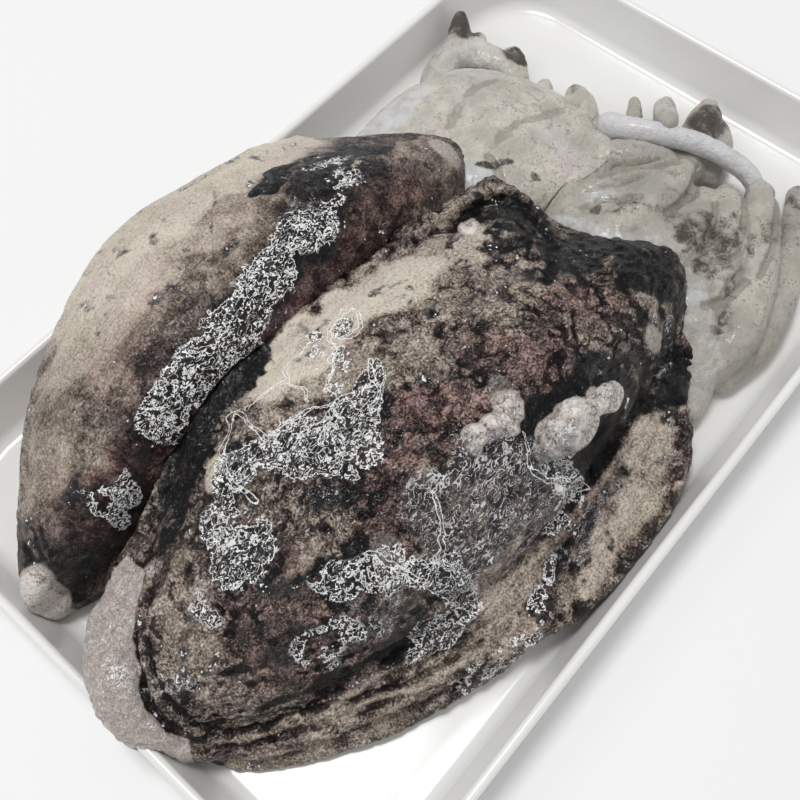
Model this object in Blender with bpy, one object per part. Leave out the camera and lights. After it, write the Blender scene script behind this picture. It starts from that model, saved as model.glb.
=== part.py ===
"""Two whole raw cuttlefish lying side by side in their shallow white tray.

Metres, +Z up.  The origin is the middle of the tray's underside.  +X runs along
the tray towards the heads, +Y across it towards the rear animal.  The tables
below are in millimetres and MM turns them into metres.
"""

import bisect
import math

import bmesh
import bpy
from mathutils import Vector

MM = 0.001
GAP = 0.3  # clearance between pieces that touch

# ---- tray ---------------------------------------------------------------------
TRAY_LENGTH = 300.0
TRAY_WIDTH = 188.0
TRAY_HEIGHT = 22.0
TRAY_CORNER = 30.0      # corner radius of the rim's outer edge
TRAY_FLOOR = 3.8        # thickness of the floor
TRAY_WALL = 3.2         # thickness of the wall and width of the rim
WALL_LEAN = 4.5         # how far the wall leans out from floor to rim
FOOT_INSET = 9.0        # how far the flat underside stands in from the rim
FOOT_BEVEL = 2.0        # where the underside turns up into the wall
COVE = 5.0              # radius where the floor turns up into the wall
FLAT_INSET = 60.0       # where the rings of the floor and of the underside end
FLAT_CORNER = 4.0       # least corner radius, on those last rings
CORNER_STEPS = 6

REST = TRAY_FLOOR + GAP  # height at which the animals lie

# ---- front animal -------------------------------------------------------------
# Stations run along the mantle from its tail, n is the distance to the left.
FRONT_TAIL = (-147.0, -4.0)
FRONT_HEADING = -8.0    # degrees, from +X
FRONT_LENGTH = (4.0, 203.0)
FRONT_EDGE_AT = ((-66, 166), (-60, 171), (-54, 177), (-48, 182), (-42, 187), (-27, 196),
                 (-14, 207), (-6, 208), (4, 200), (21, 190), (32, 189), (40, 188), (50, 184))
FRONT = {
    "crest_n": ((4, -3), (25, -3), (60, -5), (110, -6), (203, -7)),
    "crest_z": ((4, 27), (13, 33), (25, 39), (46, 47), (76, 54), (110, 57), (140, 56),
                (170, 50), (190, 43), (203, 36)),
    "left_root_n": ((4, 8), (13, 14), (25, 18), (46, 27), (76, 39), (110, 44.5), (150, 44),
                    (180, 41), (203, 38)),
    "left_root_z": ((4, 20), (25, 30), (46, 36), (76, 40), (150, 40), (180, 39), (203, 34)),
    "left_edge_n": ((4, 12), (13, 20), (25, 25), (38, 30), (58, 40), (76, 46.5), (110, 51.5),
                    (150, 51), (180, 48), (203, 45)),
    "left_edge_z": ((4, 23), (25, 33), (46, 40), (76, 43), (150, 44), (180, 44), (203, 43)),
    "left_belly_n": ((4, 8), (25, 17), (46, 23), (76, 30), (110, 34), (150, 34), (180, 30),
                     (203, 24)),
    "right_root_n": ((4, -16), (25, -29), (40, -36), (67, -43), (87, -47), (124, -45.5),
                     (143, -43), (166, -37), (190, -31), (203, -27)),
    "right_root_z": ((4, 13), (25, 18), (67, 22), (107, 25), (166, 24), (203, 21)),
    "right_edge_n": ((4, -22), (25, -41), (40, -47.5), (58, -54), (86, -62.5), (106, -67),
                     (122, -69.5), (145, -69.5), (163, -69), (180, -67), (192, -63),
                     (203, -56.5)),
    "right_edge_z": ((4, 11), (25, 15), (58, 18), (106, 16), (145, 14.5), (203, 13)),
    "right_belly_n": ((4, -22), (17, -38), (37, -50), (60, -58.5), (94, -64), (107, -61),
                      (145, -52), (166, -46), (203, -36)),
}
FRONT_DOME = (2.0, 2.0)   # exponents of the dome's right and left halves
FRONT_END = (9.0, 5.0)    # rounding lengths of the tail end and of the front edge

# ---- rear animal --------------------------------------------------------------
REAR_TAIL = (-147.0, 0.0)
REAR_HEADING = 0.0
REAR_LENGTH = (1.0, 192.0)
REAR_EDGE_AT = ((8, 168), (22, 180), (34, 195), (45, 191), (62, 176), (70, 168), (80, 164))
REAR = {
    "crest_n": ((1, 31), (20, 34), (41, 36), (72, 38), (110, 40), (146, 42), (192, 38)),
    "crest_z": ((1, 22), (9, 28), (20, 35), (41, 46), (72, 57), (110, 60), (140, 58),
                (165, 50), (180, 43), (192, 37)),
    "left_root_n": ((1, 33), (9, 39), (20, 46), (35, 57.5), (46, 64.5), (60, 71.5), (76, 78.5),
                    (91, 82), (110, 82.5), (129, 80.5), (146, 78), (161, 76), (175, 73.5), (192, 67)),
    "left_root_z": ((1, 22), (20, 33), (46, 42), (76, 47), (110, 49), (146, 48), (175, 44),
                    (192, 38)),
    "left_edge_n": ((1, 35.5), (9, 43), (20, 53), (35, 66), (46, 73), (60, 80), (76, 87),
                    (91, 90.5), (110, 91), (129, 89), (146, 86.5), (161, 85), (175, 83), (192, 77)),
    "left_edge_z": ((1, 20), (20, 30), (46, 38), (76, 42), (110, 44), (146, 43), (175, 41),
                    (192, 37)),
    "left_belly_n": ((1, 32), (20, 46), (41, 60), (72, 75), (110, 79), (146, 75), (175, 67),
                     (192, 60)),
    "right_root_n": ((1, 30), (20, 26), (41, 22), (72, 19), (110, 18), (146, 17), (175, 16),
                     (192, 20)),
    "right_root_z": ((1, 13), (41, 17), (110, 19), (192, 15)),
    "right_edge_n": ((1, 28), (20, 20.5), (41, 15.5), (72, 12.5), (110, 11.5), (146, 10.5),
                     (175, 9.5), (192, 14.5)),
    "right_edge_z": ((1, 12), (41, 14.5), (110, 16.5), (192, 12.5)),
    "right_belly_n": ((1, 29), (20, 22), (41, 18), (110, 14), (192, 17)),
}
REAR_DOME = (2.0, 1.9)
REAR_END = (9.0, 5.0)

# ---- shared by both mantles -----------------------------------------------------
STATIONS = 30           # rings along a mantle
DOME_STEPS = 8          # ring points on each half of the dome
FIN_THICK = (5.0, 3.2)  # at the root and at the edge
POCKET = 7.0            # depth of the hollow behind that edge
ARM_SIDES = 10
ARM_FLATTEN = 0.92      # height of an arm's section over its width
FUSE_GRID = 1.4         # the grid on which an animal's pieces are merged
FUSE_SOFTEN = 4
ANIMAL_TRIANGLES = 5200

# Heads: x, middle y, half width, top z.  The neck starts inside the mantle.
FRONT_HEAD = ((30, -28, 26, 24), (48, -30, 32, 31), (60, -33, 35, 33), (74, -34, 34, 31),
              (88, -33, 28, 27), (98, -32, 19, 21))
REAR_HEAD = ((20, 42, 24, 26), (38, 42, 32, 31), (54, 40, 36, 30), (70, 37, 37, 29),
             (84, 34, 33, 26), (96, 32, 26, 21), (104, 30, 17, 15))

# Arms and tentacles: x, y, z and radius along each one.
FRONT_ARMS = (
    # the four arms that fold over at the crown, from the left
    ((66, -20, 18, 11), (86, -19, 20, 10), (98, -22, 18, 9), (104, -24, 10, 7)),
    ((68, -40, 17, 11), (88, -39, 19, 10), (101, -38, 16, 9), (108, -38, 9, 6)),
    ((64, -51, 14, 10), (88, -50, 15, 9), (108, -47, 13, 8), (116, -46, 8, 5)),
    ((56, -58, 12, 10), (78, -62, 12, 9), (100, -60, 12, 8), (114, -53, 12, 6.5), (120, -46, 12, 4)),
    # the outermost arm, along the tray's side
    ((44, -62, 12, 9), (66, -69, 11, 8), (90, -69, 10, 7), (112, -63, 10, 6), (123, -55, 12, 4)),
    # the pale swelling beside the mantle's corner
    ((58, -50, 17, 10), (46, -62, 16, 10), (38, -67, 11, 8.5)),
    # arm tips beyond the tentacles
    ((100, -2, 11, 5), (110, 5, 9, 4), (122, 12.5, 7.5, 3.2)),
    ((104, -9, 12, 6), (118, -2, 11, 5.5), (129, 4, 8.5, 4.5)),
    ((104, -24, 12, 9), (121, -21, 12, 9), (131, -14, 10, 7), (136, -9, 8.5, 4.5)),
)
FRONT_TENTACLES = (
    ((91, 9, 19, 5), (94, 6, 21, 5.8), (102, -3, 23, 5.8), (109, -14, 24, 5.6),
     (112, -27, 22, 5.6), (112, -38, 18, 5.4), (110, -47, 12, 5)),
    ((86, 3, 14, 6), (95, -7, 15, 6.4), (105, -19, 14, 6)),
)
REAR_ARMS = (
    # the thick pale arm that lies across the far end
    ((74, 68, 10, 7), (82, 71, 11.5, 7.5), (90, 71, 12.5, 8), (95, 66, 12.5, 8),
     (98, 60, 12, 7.5), (100, 54, 11, 6.5)),
    # the brown tip that leans on the wall
    ((96, 70, 13, 6.5), (103, 76, 14.5, 6), (106, 82, 16, 4.5), (107, 85, 17.5, 3.5)),
    # the small brown arm at its end
    ((109, 61, 12, 2), (110, 59, 11, 2.2), (108, 56, 10, 2.6), (104, 52, 9, 3)),
    # short tips along the crown
    ((96, 36, 12, 6), (102, 39, 11, 5), (108, 43, 10, 3.5)),
    ((90, 20, 15, 9), (100, 26, 13.5, 7.5), (109, 31, 11, 5)),
    # the wide fold beside the front animal's tentacle
    ((76, 8, 14, 9), (90, 8, 14, 8), (101, 13, 11, 6)),
    # the thin skirt on the far side of the neck
    ((40, 66, 9, 6), (56, 69, 9, 6), (72, 68, 9, 6)),
)
# The tail lobe that wraps the front animal's end, and the rear animal's tail tip.
FRONT_LOBE = ((-118, 14, 28, 5), (-125, 8.5, 27, 7.5), (-132.5, 4.5, 25.5, 9.5),
              (-138.5, -2.5, 24, 10), (-142, -9, 22.5, 10), (-142.5, -15.5, 20, 9.5),
              (-140, -24, 17, 8), (-136, -32, 14, 6))
REAR_TIP = ((-128, 34, 10, 7), (-137, 32, 9, 6.5), (-142, 31, 9, 5))
# The stretch of the front animal's left fin that has rolled up, and its curled end.
FRONT_ROLL = ((-52, 25, 45.5, 3), (-60, 25, 45.5, 3.8), (-70, 24, 44.5, 4), (-80, 22, 42.5, 3.7),
              (-88, 19, 40.5, 2.8))
FRONT_CURL = ((-111, 9, 33, 3), (-117, 12.5, 33, 3.4), (-122.5, 15, 31.5, 2.8))
# The pale ridged knob that shows in the front animal's mantle.
KNOB = ((-0.5, -55.5, 46, 3), (-3.5, -56, 46.5, 3.8), (-8.5, -55.5, 47.5, 3.2),
        (-13, -54, 48.5, 5.2), (-18, -53.5, 49, 5.5), (-24, -54, 48, 4))


def clear_scene():
    for item in list(bpy.data.objects):
        bpy.data.objects.remove(item, do_unlink=True)


def smooth(table):
    """A curve through (x, value) pairs that never overshoots them."""
    xs = [float(x) for x, _ in table]
    ys = [float(y) for _, y in table]
    slopes = [(b - a) / (q - p) for a, b, p, q in zip(ys, ys[1:], xs, xs[1:])]
    tangents = [slopes[0]]
    for left, right in zip(slopes, slopes[1:]):
        same_way = left * right > 0
        tangents.append(2 * left * right / (left + right) if same_way else 0.0)
    tangents.append(slopes[-1])

    def value(x):
        x = min(max(x, xs[0]), xs[-1])
        i = min(max(bisect.bisect_right(xs, x) - 1, 0), len(slopes) - 1)
        width = xs[i + 1] - xs[i]
        t = (x - xs[i]) / width
        start = (2 * t + 1) * (1 - t) ** 2 * ys[i] + t * (1 - t) ** 2 * width * tangents[i]
        end = t * t * (3 - 2 * t) * ys[i + 1] - t * t * (1 - t) * width * tangents[i + 1]
        return start + end

    return value


def ease(t):
    t = min(max(t, 0.0), 1.0)
    return t * t * (3 - 2 * t)


def mesh_object(name, rings):
    """One closed body through rings of (x, y, z) in millimetres, capped at both ends."""
    mesh = bmesh.new()
    loops = [[mesh.verts.new(Vector(point) * MM) for point in ring] for ring in rings]
    for ring, following in zip(loops, loops[1:]):
        for i in range(len(ring)):
            j = (i + 1) % len(ring)
            mesh.faces.new((ring[i], ring[j], following[j], following[i]))
    for ring in (loops[0], loops[-1]):
        middle = mesh.verts.new(sum((v.co for v in ring), Vector()) / len(ring))
        for i in range(len(ring)):
            mesh.faces.new((ring[i], ring[(i + 1) % len(ring)], middle))
    bmesh.ops.recalc_face_normals(mesh, faces=mesh.faces)
    data = bpy.data.meshes.new(name)
    mesh.to_mesh(data)
    mesh.free()
    item = bpy.data.objects.new(name, data)
    bpy.context.scene.collection.objects.link(item)
    return item


def arc(start, end, exponent, steps):
    """Points from start up to end, along a quarter of a superellipse."""
    points = []
    for i in range(steps):
        angle = math.pi / 2 * i / steps
        across = math.cos(angle) ** (2 / exponent)
        up = math.sin(angle) ** (2 / exponent)
        points.append((end[0] + (start[0] - end[0]) * across, start[1] + (end[1] - start[1]) * up))
    return points


def half_section(root, edge, belly_n):
    """From the top of a fin's root round its edge and the belly to the tray's floor."""
    side = 1 if edge[0] > root[0] else -1
    reach = math.hypot(edge[0] - root[0], edge[1] - root[1])
    along = ((edge[0] - root[0]) / reach, (edge[1] - root[1]) / reach)
    down = (side * along[1], -side * along[0])
    scale = min(reach / 12, 1.0)
    dip = 0.7 * scale
    top = []
    for t in (0.3, 0.62, 0.9):
        sink = dip * math.sin(math.pi * t)
        top.append((root[0] + along[0] * reach * t + down[0] * sink,
                    root[1] + along[1] * reach * t + down[1] * sink))
    half = FIN_THICK[1] * scale / 2
    tip = [(edge[0] + down[0] * half, edge[1] + down[1] * half)]
    under = []
    for t in (0.9, 0.5, 0.08):
        thick = (FIN_THICK[0] + (FIN_THICK[1] - FIN_THICK[0]) * t) * scale
        under.append((root[0] + along[0] * reach * t + down[0] * thick,
                      root[1] + along[1] * reach * t + down[1] * thick))
    inner = under[-1]
    low = REST - 1.0
    height = inner[1] - low
    belly = [(inner[0] + (belly_n - inner[0]) * 0.6, low + height * 0.72),
             (belly_n, low + height * 0.4), (belly_n - side * 1.2, low + height * 0.13),
             (belly_n - side * 4, low)]
    return top + tip + under + belly


def mantle_ring(curves, station, exponents):
    at = {name: curve(station) for name, curve in curves.items()}
    crest = (at["crest_n"], at["crest_z"])
    left_root = (at["left_root_n"], at["left_root_z"])
    right_root = (at["right_root_n"], at["right_root_z"])
    dome = arc(right_root, crest, exponents[0], DOME_STEPS) + [crest]
    dome += arc(left_root, crest, exponents[1], DOME_STEPS)[::-1]
    left = half_section(left_root, (at["left_edge_n"], at["left_edge_z"]), at["left_belly_n"])
    right = half_section(right_root, (at["right_edge_n"], at["right_edge_z"]), at["right_belly_n"])
    middle = ((left[-1][0] + right[-1][0]) / 2, left[-1][1])
    return dome + left + [middle] + right[::-1]


def mantle(name, tail, heading, length, edge_at, tables, exponents, rounding):
    """The mantle with its two fins: rings from the tail to the front edge and its pocket."""
    curves = {key: smooth(table) for key, table in tables.items()}
    front_edge = smooth(edge_at)
    first, last = length
    angle = math.radians(heading)
    forward = (math.cos(angle), math.sin(angle))

    def place(ring, station, push, shrink):
        middle_n = sum(n for n, _ in ring) / len(ring)
        middle_z = sum(z for _, z in ring) / len(ring)
        reach = ease((station - first) / (last - first) * 1.6 - 0.6)
        points = []
        for n, z in ring:
            shift = (front_edge(n) - last) * reach
            n = middle_n + (n - middle_n) * shrink
            z = middle_z + (z - middle_z) * shrink
            s = station + shift + push
            points.append((tail[0] + s * forward[0] - n * forward[1],
                           tail[1] + s * forward[1] + n * forward[0], z))
        return points

    rings = []
    for i in range(STATIONS):
        t = i / (STATIONS - 1)
        t = t - 0.09 * math.sin(2 * math.pi * t)      # closer rings at both ends
        station = first + t * (last - first)
        from_tail = min((station - first) / rounding[0], 1.0)
        from_front = min((last - station) / rounding[1], 1.0)
        shrink = 0.25 + 0.75 * math.sqrt(1 - (1 - from_tail) ** 2)
        shrink *= 0.93 + 0.07 * math.sqrt(1 - (1 - from_front) ** 2)
        rings.append(place(mantle_ring(curves, station, exponents), station, 0.0, shrink))
    mouth = mantle_ring(curves, last, exponents)
    rings.append(place(mouth, last, -0.5, 0.84))
    rings.append(place(mouth, last, -POCKET, 0.76))
    return mesh_object(name, rings)


def head(name, sections):
    """A low rounded body lying on the floor, from sections across X."""
    tables = [smooth([(row[0], row[k]) for row in sections]) for k in (1, 2, 3)]
    first, last = sections[0][0], sections[-1][0]
    rings = []
    steps = 12
    for i in range(steps + 1):
        t = i / steps
        x = first + t * (last - first)
        middle, half, top = (table(x) for table in tables)
        ends = min(t * steps / 1.5 + 0.35, 1.0) * min((1 - t) * steps / 3 + 0.3, 1.0)
        shrink = math.sin(math.pi / 2 * ends)
        ring = []
        for k in range(16):
            angle = 2 * math.pi * k / 16
            across = math.copysign(abs(math.cos(angle)) ** 0.85, math.cos(angle))
            up = math.copysign(abs(math.sin(angle)) ** 0.8, math.sin(angle))
            centre = (top + REST - 1) / 2
            ring.append((x, middle + half * across * shrink, centre + (top - centre) * up * shrink))
        rings.append(ring)
    return mesh_object(name, rings)


def tube(name, rows):
    """A tapering round piece along a smooth path of (x, y, z, radius), with round ends."""
    count = len(rows)
    at = [smooth([(i, row[k]) for i, row in enumerate(rows)]) for k in range(4)]
    steps = 3 * (count - 1)
    samples = [i / steps * (count - 1) for i in range(steps + 1)]
    path = [Vector([at[k](t) for k in range(3)]) for t in samples]
    rings = []
    for i, t in enumerate(samples):
        ahead = path[min(i + 1, steps)] - path[max(i - 1, 0)]
        ahead.normalize()
        side = ahead.cross(Vector((0, 0, 1)))
        side.normalize()
        up = side.cross(ahead)
        radius = at[3](t)
        turn = [(side * math.cos(a) + up * math.sin(a) * ARM_FLATTEN)
                for a in (2 * math.pi * k / ARM_SIDES for k in range(ARM_SIDES))]
        if i == 0:
            rings.append([path[i] - ahead * radius * 0.75 + d * radius * 0.5 for d in turn])
        rings.append([path[i] + d * radius for d in turn])
        if i == steps:
            rings.append([path[i] + ahead * radius * 0.75 + d * radius * 0.5 for d in turn])
    return mesh_object(name, rings)


def apply_modifiers(item):
    """Bakes an object's modifiers into its mesh."""
    bpy.context.view_layer.update()
    graph = bpy.context.evaluated_depsgraph_get()
    data = bpy.data.meshes.new_from_object(item.evaluated_get(graph))
    item.modifiers.clear()
    item.data = data


def fuse(name, pieces):
    """One soft body from overlapping pieces: merged on a fine grid, smoothed and thinned out."""
    mesh = bmesh.new()
    for piece in pieces:
        mesh.from_mesh(piece.data)
        bpy.data.objects.remove(piece, do_unlink=True)
    data = bpy.data.meshes.new(name)
    mesh.to_mesh(data)
    mesh.free()
    item = bpy.data.objects.new(name, data)
    bpy.context.scene.collection.objects.link(item)
    merge = item.modifiers.new("Merge", "REMESH")
    merge.mode = "VOXEL"
    merge.voxel_size = FUSE_GRID * MM
    soften = item.modifiers.new("Soften", "SMOOTH")
    soften.iterations = FUSE_SOFTEN
    apply_modifiers(item)
    faces = sum(len(polygon.vertices) - 2 for polygon in item.data.polygons)
    thin = item.modifiers.new("Thin", "DECIMATE")
    thin.ratio = ANIMAL_TRIANGLES / faces
    apply_modifiers(item)
    return item


def keep_largest(item):
    """Drops the small loose scraps that a trim can leave beside the body."""
    mesh = bmesh.new()
    mesh.from_mesh(item.data)
    seen = set()
    bodies = []
    for start in mesh.verts:
        if start in seen:
            continue
        seen.add(start)
        body = [start]
        for vert in body:
            for edge in vert.link_edges:
                other = edge.other_vert(vert)
                if other not in seen:
                    seen.add(other)
                    body.append(other)
        bodies.append(body)
    bodies.sort(key=len)
    scraps = [vert for body in bodies[:-1] for vert in body]
    bmesh.ops.delete(mesh, geom=scraps, context="VERTS")
    mesh.to_mesh(item.data)
    mesh.free()


def trim(item, cutter):
    """Cuts one solid away from another and removes the cutter.

    EXACT leaves only scraps of these merged bodies, so the solver is MANIFOLD.
    """
    modifier = item.modifiers.new("Trim", "BOOLEAN")
    modifier.operation = "DIFFERENCE"
    modifier.solver = "MANIFOLD"
    modifier.object = cutter
    apply_modifiers(item)
    keep_largest(item)
    bpy.data.objects.remove(cutter, do_unlink=True)


def tray_loop(inset, height):
    """The tray's rounded rectangle, drawn in by inset, at a height."""
    half_x = TRAY_LENGTH / 2 - inset
    half_y = TRAY_WIDTH / 2 - inset
    radius = max(TRAY_CORNER - inset * 0.6, FLAT_CORNER)
    points = []
    for quarter in range(4):
        sign_x = 1 if quarter in (0, 3) else -1
        sign_y = 1 if quarter in (0, 1) else -1
        centre = (sign_x * (half_x - radius), sign_y * (half_y - radius))
        for i in range(CORNER_STEPS + 1):
            angle = math.pi / 2 * (quarter + i / CORNER_STEPS)
            points.append((centre[0] + radius * math.cos(angle),
                           centre[1] + radius * math.sin(angle), height))
    return points


def tray_profile(grow):
    """(inset, height) from the middle underneath, round the rim, to the floor's middle."""
    wall_in = TRAY_WALL + grow
    foot_in = FOOT_INSET - grow
    under = [(FLAT_INSET, -grow), (foot_in, -grow), (foot_in - FOOT_BEVEL, FOOT_BEVEL / 2)]
    rim = [(1.2, TRAY_HEIGHT - 4.5), (0, TRAY_HEIGHT - 3.2), (0, TRAY_HEIGHT - 1.0 + grow),
           (1.0, TRAY_HEIGHT + grow), (wall_in - 0.9, TRAY_HEIGHT + grow),
           (wall_in, TRAY_HEIGHT - 0.9 + grow)]
    cove_in = wall_in + WALL_LEAN
    floor = TRAY_FLOOR + grow
    cove = [(cove_in + COVE * (1 - math.cos(a)) - 1.0, floor + COVE * (1 - math.sin(a)))
            for a in (math.radians(d) for d in (15, 40, 65, 90))]
    return under + rim + cove + [(FLAT_INSET, floor)]


def tray_object(name, grow=0.0):
    """The tray, or the same shape grown by the clearance that what lies in it keeps."""
    return mesh_object(name, [tray_loop(inset, height) for inset, height in tray_profile(grow)])


def grown(source, amount):
    """A copy of a solid, every face moved out by an amount in millimetres."""
    data = source.data.copy()
    mesh = bmesh.new()
    mesh.from_mesh(data)
    mesh.normal_update()
    moves = [(v, v.normal.copy()) for v in mesh.verts]
    for v, normal in moves:
        v.co += normal * amount * MM
    mesh.to_mesh(data)
    mesh.free()
    item = bpy.data.objects.new(source.name + "_grown", data)
    bpy.context.scene.collection.objects.link(item)
    return item


def finish(item, colour, roughness):
    material = bpy.data.materials.new(item.name)
    material.use_nodes = True
    shader = material.node_tree.nodes["Principled BSDF"]
    shader.inputs["Base Color"].default_value = (*colour, 1.0)
    shader.inputs["Roughness"].default_value = roughness
    shader.inputs["Metallic"].default_value = 0.0
    item.data.materials.clear()
    item.data.materials.append(material)
    item.data.shade_smooth()
    item.data.set_sharp_from_angle(angle=math.radians(48))


def front_cuttlefish():
    pieces = [mantle("mantle", FRONT_TAIL, FRONT_HEADING, FRONT_LENGTH, FRONT_EDGE_AT,
                     FRONT, FRONT_DOME, FRONT_END)]
    pieces += [head("head", FRONT_HEAD), tube("lobe", FRONT_LOBE), tube("knob", KNOB)]
    pieces += [tube("roll", FRONT_ROLL), tube("curl", FRONT_CURL)]
    pieces += [tube("arm", rows) for rows in FRONT_ARMS + FRONT_TENTACLES]
    return fuse("cuttlefish_front", pieces)


def rear_cuttlefish():
    pieces = [mantle("mantle", REAR_TAIL, REAR_HEADING, REAR_LENGTH, REAR_EDGE_AT,
                     REAR, REAR_DOME, REAR_END)]
    pieces += [head("head", REAR_HEAD), tube("tip", REAR_TIP)]
    pieces += [tube("arm", rows) for rows in REAR_ARMS]
    return fuse("cuttlefish_back", pieces)


def main():
    clear_scene()
    tray = tray_object("tray")
    front = front_cuttlefish()
    rear = rear_cuttlefish()
    for animal in (front, rear):
        trim(animal, tray_object("tray_grown", GAP))
    trim(rear, grown(front, 1.5 * GAP))
    finish(tray, (0.92, 0.92, 0.91), 0.25)
    finish(front, (0.20, 0.17, 0.15), 0.3)
    finish(rear, (0.30, 0.27, 0.23), 0.3)


main()
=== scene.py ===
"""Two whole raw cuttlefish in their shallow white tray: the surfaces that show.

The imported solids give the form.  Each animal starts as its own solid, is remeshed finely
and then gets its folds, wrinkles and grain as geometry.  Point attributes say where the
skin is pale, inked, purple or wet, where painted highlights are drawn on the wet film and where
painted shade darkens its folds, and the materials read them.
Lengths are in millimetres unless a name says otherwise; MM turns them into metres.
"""

import itertools
import math

import bmesh
import bpy
import numpy as np
from bpy.props import FloatProperty, FloatVectorProperty, PointerProperty
from mathutils import Matrix, Vector
from mathutils.bvhtree import BVHTree


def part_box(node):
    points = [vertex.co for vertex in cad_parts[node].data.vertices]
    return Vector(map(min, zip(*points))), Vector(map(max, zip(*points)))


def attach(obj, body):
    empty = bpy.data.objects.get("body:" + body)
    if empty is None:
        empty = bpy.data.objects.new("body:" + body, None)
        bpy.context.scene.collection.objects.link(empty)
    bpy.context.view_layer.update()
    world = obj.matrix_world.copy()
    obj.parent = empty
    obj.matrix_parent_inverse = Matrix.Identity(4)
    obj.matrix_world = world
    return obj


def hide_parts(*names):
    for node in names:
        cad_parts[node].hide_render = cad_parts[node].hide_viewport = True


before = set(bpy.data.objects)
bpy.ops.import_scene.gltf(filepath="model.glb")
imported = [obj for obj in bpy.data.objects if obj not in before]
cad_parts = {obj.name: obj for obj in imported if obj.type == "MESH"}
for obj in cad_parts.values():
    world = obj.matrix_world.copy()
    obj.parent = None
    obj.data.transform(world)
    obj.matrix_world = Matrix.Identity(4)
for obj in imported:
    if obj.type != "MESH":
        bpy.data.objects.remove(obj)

bl_info = {
    "name": "Cuttlefish in a tray",
    "version": (1, 0, 0),
    "blender": (4, 5, 0),
    "location": "3D View > Sidebar > Cuttlefish",
    "description": "Builds two whole raw cuttlefish in their white tray around the packed solids",
    "category": "Add Mesh",
}

MM = 0.001
FRONT = "cuttlefish_front"
BACK = "cuttlefish_back"

# ---- camera, as solved from the tray's edges ---------------------------------------
CAMERA_AT = (-122.87, -95.40, 286.25)
CAMERA_RIGHT = (0.65587, -0.75445, -0.02513)
CAMERA_UP = (0.68641, 0.58220, 0.43577)
SENSOR_WIDTH = 36.0
CLIP_START = 0.01       # metres

# ---- stage, in metres ----------------------------------------------------------------
FLOOR_HALF = 3.0
OVERHEAD_AT, OVERHEAD_SIZE = (0.0, 0.50, 2.45), 0.74
WINDOW_AT, WINDOW_SIZE = (-2.0, 1.6, 2.2), 0.9

# ---- tray ------------------------------------------------------------------------
TRAY_CORNER = 30.0      # corner radius of the rim's outer edge
TRAY_FLOOR = 3.8        # thickness of the floor
TRAY_WALL = 3.2         # width of the rim
WALL_LEAN = 4.5         # how far the wall leans out from floor to rim
FOOT_INSET = 9.0        # how far the flat underside stands in from the rim
COVE = 5.0              # radius where the floor turns up into the wall
FLAT_INSET = 60.0       # where the rings of the floor and of the underside end
FLAT_CORNER = 4.0       # corner radius of those last rings
CORNER_SHRINK = 0.6     # how fast the corner radius falls as the rings draw in
FOOT_ROUND = 2.2        # radius between the underside and the outer wall
LIP_FOOT = (1.3, 4.6)   # inset, and depth below the top, where the outer wall meets the lip
LIP_EDGE = (0.35, 3.4)  # the same where the lip turns up into the rim
TRAY_CORNER_STEPS = 16
SHARP_ANGLE = 50.0      # degrees; edges that turn by more stay sharp

# ---- limbs and heads -------------------------------------------------------------------
GAP = 0.3               # clearance between pieces that touch
REACH = 12.0            # how far off the surface of a piece that touches is looked for
LIMB_STEPS = 4          # rings between two points of a limb
LIMB_SIDES = 20
ROUND_END = ((0.55, 0.84), (0.85, 0.5))     # push and shrink of an end's rings, in radii
HEAD_SIDES = 48
HEAD_END = 0.4          # how much of its width a head keeps where it starts and ends
NECK_RINGS = 4          # over how many rings it widens from the neck
ARM_RINGS = 6           # and narrows towards the arms
HEAD_BLUNTNESS = 0.8    # under 1, which makes its section squarer than an ellipse
CUT_HEIGHTS = (-5, 80)  # bottom and top of the shape that cuts a mantle from its head

# ---- surfaces --------------------------------------------------------------------------
MANTLE_SMOOTHING = 8    # smoothing passes after the remesh
HEAD_SMOOTHING = 22
TENTACLE_SMOOTHING = 3
MANTLE_UNDERSIDE = 0.06     # share of the hidden faces that stays
HEAD_UNDERSIDE = 0.10
UNDERSIDE_TILT = -0.35  # the underside's normals point further down than this
UNDERSIDE_TOP = 16.0    # and it lies below this height
FACING = 0.3            # relief fades out from normals this far up to this far down
PATCH_REACH = 1.3       # where a patch ends, as a share of its half length and half width
PATCH_FADE = 0.6        # and how far its edge fades
STRAND_FADE = 0.5
STRAND_STRETCH = 9.0    # how much longer than wide the fine long folds are
STRAND_SIZE = 2.4
FOLD_SIZE, FOLD_SHARE = 7.0, 0.5
WORM_SIZE, WORM_SHARE = 3.2, 0.6
FOLD_SHADE_DEPTH = 0.28     # how far below the skin a fold's floor is where its painted shade is darkest
LOBE_FLESH = 0.70       # how far the tail lobe is bare flesh
FLESH_EDGE = 0.9        # how far past a flesh limb's skin its colour fades
TENTACLE_RELIEF = 0.6   # depth of the tentacles' wrinkles against the head's
# lightens the tentacles' colour: painted light against the shade they lie in
TENTACLE_PAINTED_LIGHT = 1.2

# ---- outlines that part each mantle from its head: the front edge in plan ------------
FRONT_COLLAR = ((8, -96), (11, -90), (17, -84), (26, -77), (34, -70.5), (43.5, -59), (55, -48),
                (58, -39), (53, -28.5), (46.5, -10), (47, 1), (47.5, 10), (45, 21), (30, 40))
BACK_COLLAR = ((16, -10), (22.5, 8), (34.5, 22), (49, 34), (45.5, 45), (31, 62), (22.5, 71),
               (18, 81), (14, 100))
BEHIND_TAIL = -160.0    # how far the cutting outline reaches lengthwise
BESIDE_FIN = 120.0      # and sideways

# ---- heads: x, middle y, half width, top z of each section ----------------------------
FRONT_HEAD = ((34, -30, 24, 24), (48, -30, 31, 29), (60, -33, 34, 30), (74, -34, 33, 28),
              (88, -33, 27, 24), (98, -32, 18, 19))
BACK_HEAD = ((24, 42, 24, 25), (38, 42, 31, 29), (54, 40, 35, 29), (70, 37, 36, 28),
             (84, 34, 32, 25), (96, 32, 25, 20), (104, 30, 16, 15))

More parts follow.
